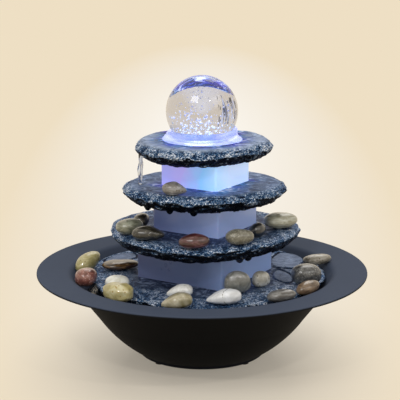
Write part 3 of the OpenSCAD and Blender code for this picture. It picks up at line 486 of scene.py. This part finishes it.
def smoothed(mesh, passes):
    """Rounds a mesh off by moving each point towards its neighbours."""
    def change(shape):
        for _ in range(passes):
            bmesh.ops.smooth_vert(shape, verts=shape.verts, factor=0.5, use_axis_x=True, use_axis_y=True,
                                  use_axis_z=True)
    return edited(mesh, change)


def outward(mesh):
    """Turns every face of a closed mesh outwards."""
    return edited(mesh, lambda shape: bmesh.ops.recalc_face_normals(shape, faces=shape.faces))


def read(mesh):
    """A mesh's points and its normals, as rows of x, y and z."""
    points = np.zeros(len(mesh.vertices) * 3)
    normals = np.zeros(len(mesh.vertices) * 3)
    mesh.vertices.foreach_get("co", points)
    mesh.vertex_normals.foreach_get("vector", normals)
    return points.reshape(-1, 3), normals.reshape(-1, 3)


def write(mesh, points):
    mesh.vertices.foreach_set("co", points.ravel())
    mesh.update()


def point_values(mesh, name, values):
    """Stores a value for each point, which the materials read by name."""
    mesh.attributes.new(name, "FLOAT", "POINT").data.foreach_set("value", values)


def step_up(x, low, high):
    """0 below low, 1 above high, and a smooth rise between."""
    t = np.clip((x - low) / (high - low), 0, 1)
    return t * t * (3 - 2 * t)


def chips(place, size):
    """Height from 0 to 1 of flat chips about that many mm wide, each with a tilt of its own."""
    spot = place / (size * MM)
    centre = noise.voronoi(spot)[1][0]
    tilt = noise.cell_vector(centre * 9.3) * 2 - Vector((1, 1, 1))
    return 0.5 + 0.5 * max(-1, min(1, (spot - centre).dot(tilt) + 0.6 * (noise.cell(centre * 5.7) - 0.5)))


def heading(degrees):
    """A level direction, counted from +x towards +y."""
    angle = math.radians(degrees)
    return Vector((math.cos(angle), math.sin(angle), 0))


def lathe(name, section, sides, wobble=None):
    """Closed ring of sections turned about the ball's axis. Wobble moves a point by angle and index."""
    rows = []
    for k in range(sides):
        angle = math.tau * k / sides
        for i, (r, z) in enumerate(section):
            dr, dz = wobble(angle, i) if wobble else (0, 0)
            rows.append(((r + dr) * math.cos(angle), (r + dr) * math.sin(angle), z + dz))
    n = len(section)
    faces = [(k * n + i, (k + 1) % sides * n + i, (k + 1) % sides * n + (i + 1) % n, k * n + (i + 1) % n)
             for k in range(sides) for i in range(n)]
    mesh = bpy.data.meshes.new(name)
    mesh.from_pydata(rows, [], faces)
    mesh.update()
    return outward(mesh)


def tube(name, path, radii, sides=14):
    """Closed tube along a path of points, with its own radius at each."""
    points, faces = [], []
    for i, (spot, radius) in enumerate(zip(path, radii)):
        ahead = (path[min(i + 1, len(path) - 1)] - path[max(i - 1, 0)]).normalized()
        side = ahead.orthogonal().normalized()
        up = ahead.cross(side)
        for k in range(sides):
            angle = math.tau * k / sides
            points.append(tuple(spot + radius * (math.cos(angle) * side + math.sin(angle) * up)))
            if i:
                here, beside = i * sides + k, i * sides + (k + 1) % sides
                faces.append((here - sides, beside - sides, beside, here))
    faces += [tuple(range(sides))[::-1], tuple((len(path) - 1) * sides + k for k in range(sides))]
    mesh = bpy.data.meshes.new(name)
    mesh.from_pydata(points, [], faces)
    return outward(mesh)


# ---- Slate steps

# Each step: voxel in mm, insets in mm between which its face turns from smooth to chipped, how deep the
# face's chips are beside the edge's, the tones of its water, painted lighter or darker per step as its
# reflections and shade, how bright its ridges' painted glints are, and the painted lamp light that its
# water carries
SLATES = {
    "step_1": dict(voxel_mm=0.9, worn_from=6.5, worn_to=3, face_depth=0.6, pool="#5f6d88", streak_reflection="#9dacc2",
                   glint=0.34, glow=dict(colour="#4a3cf0", inner=32, outer=50, strength=0.46, behind=0.85)),
    "step_2": dict(voxel_mm=0.9, worn_from=9, worn_to=4, face_depth=0.5, pool="#2c3a54", streak_reflection="#677b9b",
                   glint=0.32, glow=dict(colour="#5a58e4", block="block_1", inner=26, outer=42,
                                         strength=0.42)),
    "step_3": dict(voxel_mm=0.9, worn_from=24, worn_to=12, face_depth=0.35, pool="#10161f",
                   streak_reflection="#2e3d58", glint=0.3),
    "step_4": dict(voxel_mm=1.0, worn_from=40, worn_to=20, face_depth=0.3, pool="#161e2a",
                   streak_reflection="#3b485e", glint=0.32),
}

# How deep the slate is worked, in mm: its chips, the waves of its smooth face, the groove round a plate
CHIP_DEPTH, WAVE_DEPTH, CLEFT_DEPTH = 2.4, 0.3, 1.6

# The underside is chipped this far in from the edge, in mm
CHIPPED_UNDER = 25

# Smooth plates of the lowest step's own face, in mm and degrees: centre x and y, half length, half
# width and turn
PLATES = [(75, 40, 27, 14, 80), (68, -13, 18, 8, 95), (-72, 48, 17, 12, 60)]


def reach_share(points):
    """How far out each point lies, as a share of the step's reach in its direction."""
    bins = 180
    angle = np.arctan2(points[:, 1], points[:, 0])
    spread = np.hypot(points[:, 0], points[:, 1])
    slot = ((angle / math.tau) % 1 * bins).astype(int) % bins
    reach = np.zeros(bins)
    np.maximum.at(reach, slot, spread)
    reach = np.convolve(np.concatenate([reach[-2:], reach, reach[:2]]), [0.2] * 5, "valid")
    return spread / reach[slot], reach[slot]


def plate_share(points):
    """0 at a plate's middle, 1 at its edge and more outside, for the nearest plate."""
    shares = []
    for x, y, half_length, half_width, turn in PLATES:
        c, s = math.cos(math.radians(turn)), math.sin(math.radians(turn))
        dx, dy = points[:, 0] / MM - x, points[:, 1] / MM - y
        dy = dy + 2.2 * np.sin(dx / 5.5 + x) + 1.1 * np.sin(dx / 2.3)
        shares.append(np.hypot((dx * c + dy * s) / half_length, (dy * c - dx * s) / half_width))
    return np.min(shares, axis=0)


def slate_step(node, voxel_mm, worn_from, worn_to, face_depth, pool, streak_reflection, glint, glow=None):
    """Split slate: a face that turns from smooth to chipped over the given insets, and a chipped edge."""
    mesh = remeshed(node, voxel_mm)
    points, normals = read(mesh)
    share, reach = reach_share(points)
    inset = (1 - share) * reach / MM
    up = step_up(normals[:, 2], 0.55, 0.9)
    band = (1 - up) + up * step_up(-inset, -worn_from, -worn_to)
    band[(inset > CHIPPED_UNDER) & (up < 0.5)] = 0
    depth_share = band * (1 - up * (1 - face_depth))
    cleft, smooth = np.zeros(len(points)), np.zeros(len(points))
    if node == "step_4":
        plate = plate_share(points)
        smooth = up * (1 - step_up(plate, 0.88, 1.0))
        band *= 1 - smooth
        depth_share *= 1 - smooth
        cleft = up * step_up(-np.abs(plate - 1.06), -0.12, -0.03)
    seed = Vector((3.1, 7.7, 1.3)) * (STEPS.index(node) + 1) * 10 * MM
    ridge = np.full(len(points), 0.5)
    for i, point in enumerate(points):
        place = Vector(point) + seed
        if depth_share[i] > 0.01:
            flake = Vector((place.x, place.y, place.z * 1.8))
            depth = 0.5 * chips(flake, 8) + 0.32 * chips(flake, 3.2)
            depth += 0.18 * (0.5 + 0.5 * noise.fractal(place / (2.0 * MM), 0.9, 2.0, 3))
            ridge[i] = 1 - depth
            points[i] -= normals[i] * depth_share[i] * depth * CHIP_DEPTH * MM
        else:
            points[i] -= normals[i] * WAVE_DEPTH * MM * (0.5 + 0.5 * noise.noise(place / (7 * MM)))
    points[:, 2] -= cleft * CLEFT_DEPTH * MM
    write(mesh, points)
    point_values(mesh, "chipped", band)
    # The ridge value sets the chipped stone's painted glints and shade; the groove round a plate is also
    # lowered in it, which paints shadow into the groove.
    point_values(mesh, "ridge", ridge - cleft)
    point_values(mesh, "plate", smooth)
    made = piece(node + "_slate", mesh, wet_slate(node, pool, streak_reflection, glint, glow), "tower")
    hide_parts(node)


# ---- Pebbles

PEBBLE_VOXEL, PEBBLE_PASSES = 0.75, 4       # mm between a stone's points, and rounds of smoothing


def shaped(points, low, high, fullness, taper, peak):
    """A stone's points made fuller, drawn to one end or narrowed to the top, all within its box."""
    middle = (low + high) / 2
    _, axes = np.linalg.eigh(np.cov((points[:, :2] - middle[:2]).T))
    turned = points - middle
    turned[:, :2] = turned[:, :2] @ axes
    unit = np.abs(turned) / np.abs(turned).max(axis=0)
    sphere = np.linalg.norm(unit, axis=1)
    full = np.sum(unit ** fullness, axis=1) ** (1 / fullness)
    grown = (points - middle) * np.clip(sphere / np.maximum(full, 1e-6), 1, 1.1)[:, None]
    along = np.clip(grown[:, 0] / (high - middle)[0], -1, 1)
    tall = np.clip((grown[:, 2] + (high - middle)[2]) / (high - low)[2], 0, 1)
    narrow = 1 - abs(taper) * np.clip(-along * np.sign(taper), 0, 1) ** 1.3
    grown[:, 1] *= narrow
    grown[:, 2] = (grown[:, 2] + (high - middle)[2]) * narrow - (high - middle)[2]
    grown[:, :2] *= (1 - peak * tall ** 1.5)[:, None]
    return np.clip(grown + middle, low, high)


def pebble(node, material, slot, fullness=2.15, taper=0.0, peak=0.0, lumps=0.6):
    """Tumbled stone: the CAD stone with a shape of its own, and low lumps and hollows worn into it."""
    mesh = smoothed(remeshed(node, PEBBLE_VOXEL), PEBBLE_PASSES)
    points, normals = read(mesh)
    if node != "rear_pebbles":
        points = shaped(points, points.min(axis=0), points.max(axis=0), fullness, taper, peak)
    seed = Vector(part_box(node)[0]) * 3.7
    for i, point in enumerate(points):
        place = (Vector(point) + seed) / (11 * MM)
        points[i] -= normals[i] * MM * lumps * (0.5 + 0.6 * noise.fractal(place, 1.2, 2.0, 3))
    write(mesh, points)
    made = piece(node + "_stone", mesh, material, "tower")
    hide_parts(node)


# Each stone's low, middle and high tone, and what else it shows
STONES = {
    1: dict(low="#575049", middle="#7a7672", high="#9c9a98", specks="#4a3c2e", stretch=3.0),
    2: dict(low="#454638", middle="#80806c", high="#acae9a", stretch=2.5),
    3: dict(low="#2c2820", middle="#403c32", high="#565044"),
    4: dict(low="#1b1812", middle="#29261e", high="#423e31", specks="#8d8973", grain_mm=1.2),
    5: dict(low="#2c0f0c", middle="#451712", high="#7a5256", stretch=2.5),
    6: dict(low="#544f3f", middle="#706c5c", high="#8f8b7d", specks="#d0ccb8", grain_mm=1.0),
    7: dict(low="#0c0e10", middle="#131518", high="#2c3036"),
    8: dict(low="#7a755c", middle="#9f9c88", high="#c4c4b4", stretch=4.0),
    9: dict(low="#9a8e54", middle="#b8ac74", high="#ccc296", specks="#8d7a3a", stretch=3.0),
    10: dict(low="#5a3028", middle="#8a574a", high="#b27e70", specks="#d9b0a4", grain_mm=1.6),
    11: dict(low="#0c0703", middle="#3a2210", high="#94713f", stretch=5.0),
    12: dict(low="#d0cbb4", middle="#ebe8d8", high="#f8f7f0"),
    13: dict(low="#9a8b52", middle="#c0b37c", high="#dad2aa", specks="#a8873f"),
    14: dict(low="#ccc8bb", middle="#e8e6de", high="#f8f7f3"),
    15: dict(low="#84794f", middle="#aca284", high="#d2cab0"),
    16: dict(low="#d6d5d2", middle="#f0f0ee", high="#fcfcfc", vein="#57503f", gloss=0.3),
    17: dict(low="#56564e", middle="#7c7b74", high="#a2a2a0"),
    18: dict(low="#857f70", middle="#b0ab9e", high="#cfccc2", specks="#5c5240"),
    19: dict(low="#423a2e", middle="#7c7464", high="#a8a294", specks="#4f3c26", stretch=2.0),
    20: dict(low="#2c2c2c", middle="#484848", high="#6e6e6c", specks="#a8a8a2", grain_mm=1.1),
    21: dict(low="#46321f", middle="#735d47", high="#a08668", stretch=4.0),
    22: dict(low="#3c3833", middle="#605d58", high="#868480", stretch=3.0),
}

# Stones with a shape of their own. Taper draws the left end out, or the right end where it is below 0.
SHAPES = {
    1: dict(taper=-0.4), 4: dict(taper=-0.3), 5: dict(taper=0.2), 7: dict(taper=0.2),
    12: dict(fullness=2.3), 13: dict(fullness=2.7, lumps=0.9), 14: dict(taper=0.5, fullness=2.4),
    15: dict(taper=0.55, fullness=2.5, lumps=0.8), 16: dict(taper=0.55, fullness=2.5),
    17: dict(peak=0.18, fullness=2.4), 18: dict(peak=0.1, fullness=2.3), 20: dict(fullness=2.4),
}


def stones():
    """Every stone in its own colours. The ones at the back share the sixth stone's."""
    slots = {row["node"]: row["material_slot"] for row in frame["record"]["subparts"]}
    for number, look in STONES.items():
        node = f"pebble_{number}"
        material = tumbled_stone(f"river_pebble_{number}", **look)
        pebble(node, material, slots[node], **SHAPES.get(number, {}))
    pebble("rear_pebbles", tumbled_stone("river_pebbles_rear", **STONES[6]), slots["rear_pebbles"])


# ---- Ball

# Clouds of bubbles: how many, then their middle and their spread in mm, from the ball's centre
BUBBLES = [(150, (-2, -4, -2), (8, 6, 5)), (400, (1, -8, -13), (12, 6, 5)), (18, (-2, -14, 15), (5, 3, 3)),
           (16, (15, 6, 3), (3, 4, 6))]
BUBBLE_SIZES = (0.2, 0.25, 0.3, 0.35, 0.45, 0.6, 0.8)      # radii in mm
BUBBLE_REACH, BUBBLE_ROOM = 26.5, 0.2                       # mm from the centre, and between two


def glass_ball():
    """Cast ball with air bubbles in it, as cavities in the one mesh."""
    rng = random.Random(5)
    shape = bmesh.new()
    bmesh.ops.create_icosphere(shape, subdivisions=6, radius=BALL_R - 0.02 * MM,
                               matrix=Matrix.Translation(BALL))
    skin = set(shape.faces)
    count = len(shape.verts)
    placed = []
    for bubbles, middle, spread in BUBBLES:
        wanted = len(placed) + bubbles
        while len(placed) < wanted:
            spot = Vector([rng.gauss(m, w) for m, w in zip(middle, spread)])
            size = rng.choice(BUBBLE_SIZES)
            if spot.length > BUBBLE_REACH or any((spot - other).length < size + room + BUBBLE_ROOM
                                                 for other, room in placed):
                continue
            placed.append((spot, size))
            bmesh.ops.create_icosphere(shape, subdivisions=2 if size < 0.7 else 3, radius=size * MM,
                                       matrix=Matrix.Translation(BALL + spot * MM))
    bmesh.ops.reverse_faces(shape, faces=[f for f in shape.faces if f not in skin])
    mesh = new_mesh("bubbled_ball", shape)
    point_values(mesh, "bubble", [float(i >= count) for i in range(len(mesh.vertices))])
    made = piece("bubbled_ball", mesh, bubbled_glass(), "ball")
    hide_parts("glass_ball")


# ---- Water

def water_collar():
    """Water that runs down the ball and spreads over the top step, with a wave that rises to the right."""
    def ball_side(z):
        return math.sqrt(max(0, (BALL_R + 0.25 * MM) ** 2 - (z - BALL.z) ** 2))

    top = STEP_TOPS[0]
    heights = [8.5, 7.2, 5.8, 4.4, 3, 1.6]        # mm above the step, down the ball's side
    outer = [(28.3, 7.6), (29, 6.6), (29.6, 5.4), (30.2, 4.1), (31, 2.7), (32, 1.5), (33.8, 0.7)]
    section = [(r * MM, top + z * MM) for r, z in reversed(outer)]
    section += [(ball_side(top + z * MM), top + z * MM) for z in heights]
    section += [(ball_side(top + 0.6 * MM), top + 0.6 * MM), (33 * MM, top + 0.25 * MM)]
    skirt = len(outer)

    def wobble(angle, i):
        if i >= skirt:
            return 0, 0
        turn = Vector((math.cos(angle), math.sin(angle), i * 0.22)) * 2.6
        lean = 3 * max(0, math.cos(angle)) ** 2 if i > 3 else 0
        return noise.noise(turn) * 1.1 * MM, (noise.noise(turn * 1.7) * 0.8 + lean) * MM * (i > 1)

    # The collar's water has a painted blue glow for the lamps' light under the seat.
    piece("water_collar", lathe("water_collar", section, 160, wobble),
          running_water("lit_water", "#d2dbfa", "#a6b6f6", 0.26, 0.24, 0.15), "tower")


def bowl_water():
    """Still water in the bowl, from the pump's stand to the wall, just under the lowest step."""
    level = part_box("step_4")[0].z - 0.8 * MM
    wall = []
    for angle in range(0, 360, 3):
        hit, spot, _, _ = frame["nodes"]["bowl"].ray_cast(Vector((0, 0, level)), heading(angle))
        wall.append(spot.xy.length if hit else RIM_R * 0.75)
    near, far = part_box("pump_stand")[1].x + 0.5 * MM, min(wall) - 0.2 * MM
    rows = 12
    section = [(near + (far - near) * i / rows, level) for i in range(rows)]
    section += [(far, level + 0.3 * MM), (far, level - 1.2 * MM), (near, level - 1.2 * MM)]

    def wobble(angle, i):
        spot = Vector((math.cos(angle), math.sin(angle), 0)) * (2 + i * 0.4)
        return 0, (noise.noise(spot * 1.6) * 0.25 * MM if 0 < i < rows else 0)

    piece("bowl_water", lathe("bowl_water", section, 180, wobble),
          running_water("still_water", "#f2f7ff", "#000000", 0.0), "base")


STREAM_X, STREAM_Y = -50.5, -8          # where the top step's left edge spills, in mm


def stream():
    """Two thin strands that twist as they fall from the top step's left edge to the second step."""
    high, low = STEP_TOPS[0] - 7 * MM, STEP_TOPS[1] + 0.3 * MM
    count = 26
    for strand, turn in (("a", 0.0), ("b", math.pi)):
        path, radii = [], []
        for i in range(count):
            t = i / (count - 1)
            swing = (1.2 - 0.5 * t) * MM
            angle = turn + 5.2 * t
            path.append(Vector((STREAM_X * MM - 1.2 * t * MM + swing * math.cos(angle),
                                STREAM_Y * MM + swing * math.sin(angle), high + (low - high) * t)))
            radii.append((1.6 - 0.4 * t + 0.35 * math.sin(13 * t + turn)) * MM)
        piece(f"stream_{strand}", tube(f"stream_{strand}", path, radii), WATER, "tower")


def drop(name, spot, size, water):
    """One drop that swells under an edge before it falls."""
    heights = [-0.8, -0.1, 0.35, 0.8, 1.15, 1.4, 1.5]
    widths = [2.0, 1.7, 1.4, 1.2, 0.9, 0.5, 0.12]
    path = [Vector(spot) - Vector((0, 0, h * size)) for h in heights]
    piece(name, tube(name, path, [w * size for w in widths], 16), water, "tower")


def drops():
    """Drops under the steps' front edges: step, direction in degrees, inset and size in mm, and water."""
    rows = [(1, 238, 6, 2.0, DRIP), (1, 262, 6, 2.4, DRIP), (1, 212, 5, 1.9, DRIP), (2, 307, 6, 2.5, DRIP),
            (2, 298, 4, 2.3, WATER)]
    for k, (i, direction, inset, size, water) in enumerate(rows):
        out = heading(direction)
        edge = bpy.data.objects[STEPS[i] + "_slate"]
        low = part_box(STEPS[i])[0].z
        _, spot, _, _ = edge.ray_cast(out * OUTSIDE + Vector((0, 0, low + 3 * MM)), -out)
        start_at = spot - out * inset * MM
        hit, under, _, _ = edge.ray_cast(Vector((start_at.x, start_at.y, low - 20 * MM)), Vector((0, 0, 1)))
        if hit:
            drop(f"drop_{k + 1}", under, size * MM, water)


# Beads of water on the lowest block: x in mm, share of the block's height, and radius in mm
BEADS = [(-30, 0.55, 1.7), (-26, 0.66, 1.3), (-27.5, 0.42, 1.4), (-33.5, 0.4, 1.0)]


def beads():
    """Splashed water that clings to the lowest block's front in flat beads, each heavier below."""
    low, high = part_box("block_3")
    for k, (x, share, size) in enumerate(BEADS):
        start_at = Vector((x * MM, -RIM_R, low.z + (high.z - low.z) * share))
        _, spot, normal, _ = frame["nodes"]["block_3"].ray_cast(start_at, Vector((0, 1, 0)))
        shape = bmesh.new()
        bmesh.ops.create_icosphere(shape, subdivisions=3, radius=size * MM)
        for vert in shape.verts:
            vert.co.z *= 1 + 0.35 * max(0, -vert.co.z / (size * MM))
            vert.co -= normal * vert.co.dot(normal) * 0.5
            vert.co += spot
        piece(f"bead_{k + 1}", new_mesh("bead", shape), WATER, "tower")


def water_lip():
    """Water that gathers along the lowest step's front edge before it runs over."""
    edge = bpy.data.objects["step_4_slate"]
    path, radii = [], []
    for k, direction in enumerate(range(262, 304)):
        out = heading(direction)
        hit, spot, _, _ = edge.ray_cast(out * RIM_R + Vector((0, 0, STEP_TOPS[3] - 2.5 * MM)), -out)
        if hit:
            path.append(spot + Vector((0, 0, 0.9 * MM)))
            radii.append((0.75 + 0.35 * math.sin(1.9 * k) * math.sin(0.6 * k)) * MM)
    piece("water_lip", tube("water_lip", path, radii), WATER, "tower")


# ---- Finishes of the pieces that keep their CAD shape

def finish_cad():
    """Gives each piece that keeps its CAD shape the finish of the real one."""
    housing = moulded("abs_black", "#17181a", 0.42)                    # injection moulded: satin
    nylon = moulded("nylon_black", "#1b1b1d", 0.5)                     # moulded: a little duller
    rubber = moulded("nitrile_rubber", "#141414", 0.75, 0.8, 0.08)     # pressed: matt, with a soft grain
    sheath = moulded("pvc_sheath", "#101011", 0.48)                    # extruded: smooth
    ceramic = moulded("alumina", "#e9e4d6", 0.25, 0.3, 0.01)           # fired and ground: pale, polished
    looks = {
        "bowl": cast_resin(),
        "rubber_feet": rubber, "gland_washer": rubber, "pump_seal": rubber, "suction_cups": rubber,
        "cable_gland": nylon, "gland_nut": nylon, "lamp_plug": nylon, "pump_stand": nylon,
        "pump_body": housing, "volute_plate": housing, "intake_cover": housing, "pump_nozzle": housing,
        "lamp_socket": housing,
        "pump_lead": sheath, "lamp_lead": sheath,
        "shaft_bushes": ceramic, "impeller_shaft": ceramic,
        "impeller": moulded("blue_acetal", "#3f6f9c", 0.3),
        "rotor_magnet": moulded("sintered_ferrite", "#3b3734", 0.55, 0.4, 0.05, Metallic=0.4),
        "flow_slider": moulded("grey_acetal", "#989ea4", 0.35),
        "intake_sponge": moulded("open_cell_foam", "#38444f", 0.95, 1.6, 1.2),
        "hose": moulded("clear_vinyl", "#dfe5ea", 0.12, 3.0, 0.02, Transmission_Weight=0.8, IOR=1.52),
        # The clear seat has a painted blue glow for the lamps under it.
        "ball_seat": moulded("clear_acrylic", "#eef3ff", 0.05, 4.0, 0.01, Transmission_Weight=0.95,
                             IOR=1.49, Emission_Color="#a9c0ff", Emission_Strength=0.35),
        "lamp_case": moulded("opal_acrylic", "#eceff4", 0.3, Transmission_Weight=0.3, IOR=1.49),
        "lamp_cap": moulded("opal_acrylic_cap", "#eceff4", 0.3, Transmission_Weight=0.3, IOR=1.49),
        "lamp_board": moulded("white_solder_mask", "#dfe3da", 0.35, 0.5, 0.02),
        "lamps": moulded("lamp_domes", "#d6e6ff", 0.1, 2.0, 0.01, Emission_Color="#9fc4ff",
                         Emission_Strength=2.5),
        # Painted lamp light: the blocks glow, and the two lower blocks are painted darker and dimmer, for
        # the shade under the steps above them.
        "block_1": frosted_acrylic("frosted_acrylic_bright", "#a0a3ee", "#86c0f8", "#bcd4fb", 0.7,
                                   "block_1", patch="#ada6ee"),
        "block_2": frosted_acrylic("frosted_acrylic_soft", "#525d84", "#7080ab", "#8fa0cc", 0.42,
                                   "block_2"),
        "block_3": frosted_acrylic("frosted_acrylic_dim", "#4d5573", "#4d5978", "#8398c4", 0.34,
                                   "block_3"),
    }
    for node, material in looks.items():
        for slot in frame["nodes"][node].material_slots:
            slot.material = material


# ---- Studio

# Lamps: name, place in metres, width in metres and power in watts
LAMPS = [("key", (-0.45, -0.75, 1.05), 0.45, 3.2), ("fill", (0.8, -0.5, 0.8), 0.6, 1.4),
         ("rim", (0.1, 0.9, 1.0), 0.7, 2.6), ("spark_left", (-0.3, -0.9, 0.9), 0.05, 1.4),
         ("spark_right", (0.5, -0.8, 1.0), 0.05, 1.4)]
LAMPS_AIM = (0, 0, 0.1)

CAMERA_AT = (-1.65 * MM, -1.1, 379.94 * MM)
CAMERA_TILT = 12.69                     # degrees below level
LENS, SENSOR = 120.46, 36.0             # mm


def staged(name, shape, material):
    """Puts a bmesh in the scene as floor, backdrop or card, which isn't part of the fountain."""
    made = bpy.data.objects.new(name, new_mesh(name, shape))
    made.data.materials.append(material)
    bpy.context.scene.collection.objects.link(made)


def floor_and_cards():
    """A wide paper floor, and the upright cards behind the ball."""
    ground = bmesh.new()
    bmesh.ops.create_circle(ground, cap_ends=True, cap_tris=True, segments=96, radius=9.0)
    staged("paper_floor", ground, backdrop())
    card_look = dark_card()
    for turn, width in CARDS:
        card = bmesh.new()
        bmesh.ops.create_grid(card, x_segments=1, y_segments=1, size=0.5,
                              matrix=Matrix.Rotation(math.radians(turn), 4, "Z")
                              @ Matrix.Translation((0, CARD_AWAY, CARD_HEIGHT / 2))
                              @ Matrix.Rotation(math.radians(90), 4, "X")
                              @ Matrix.Diagonal((width, CARD_HEIGHT - 2 * MM, 1, 1)))
        staged("dark_card", card, card_look)


def world_light():
    """Even white light from all round, behind cream paper."""
    world = bpy.data.worlds.new("studio")
    bpy.context.scene.world = world
    world.use_nodes = True
    tree = world.node_tree
    light = add(tree, "Background", {"Color": linear("#ffffff"), "Strength": 0.5})
    paper = add(tree, "Background", {"Color": linear("#efe4d2"), "Strength": 1.0})
    both = add(tree, "MixShader", {0: shows_background(tree), 1: light.outputs[0], 2: paper.outputs[0]})
    link(tree, both.outputs[0], tree.nodes["World Output"], "Surface")


def lamps():
    for name, spot, size, power in LAMPS:
        data = bpy.data.lights.new(name, "AREA")
        data.size = size
        data.energy = power
        lamp = bpy.data.objects.new(name, data)
        lamp.location = spot
        lamp.rotation_euler = (Vector(LAMPS_AIM) - Vector(spot)).to_track_quat("-Z", "Y").to_euler()
        bpy.context.scene.collection.objects.link(lamp)


def camera():
    view = bpy.data.cameras.new("view")
    view.sensor_width = SENSOR
    view.lens = LENS
    made = bpy.data.objects.new("view", view)
    made.location = CAMERA_AT
    made.rotation_euler = (math.radians(90 - CAMERA_TILT), 0, 0)
    bpy.context.scene.collection.objects.link(made)
    bpy.context.scene.camera = made


# Clear falling water, and drops whose colour is painted dark, as the shade and reflection of the slate that
# stands behind and above them
WATER = running_water("falling_water", "#dfe4ee", "#000000", 0.0)
DRIP = running_water("dark_drip", "#3a4048", "#000000", 0.0)

bpy.context.scene.view_settings.view_transform = "Standard"
floor_and_cards()
world_light()
lamps()
camera()
finish_cad()
for step, look in SLATES.items():
    slate_step(step, **look)
stones()
glass_ball()
water_collar()
bowl_water()
stream()
drops()
beads()
water_lip()
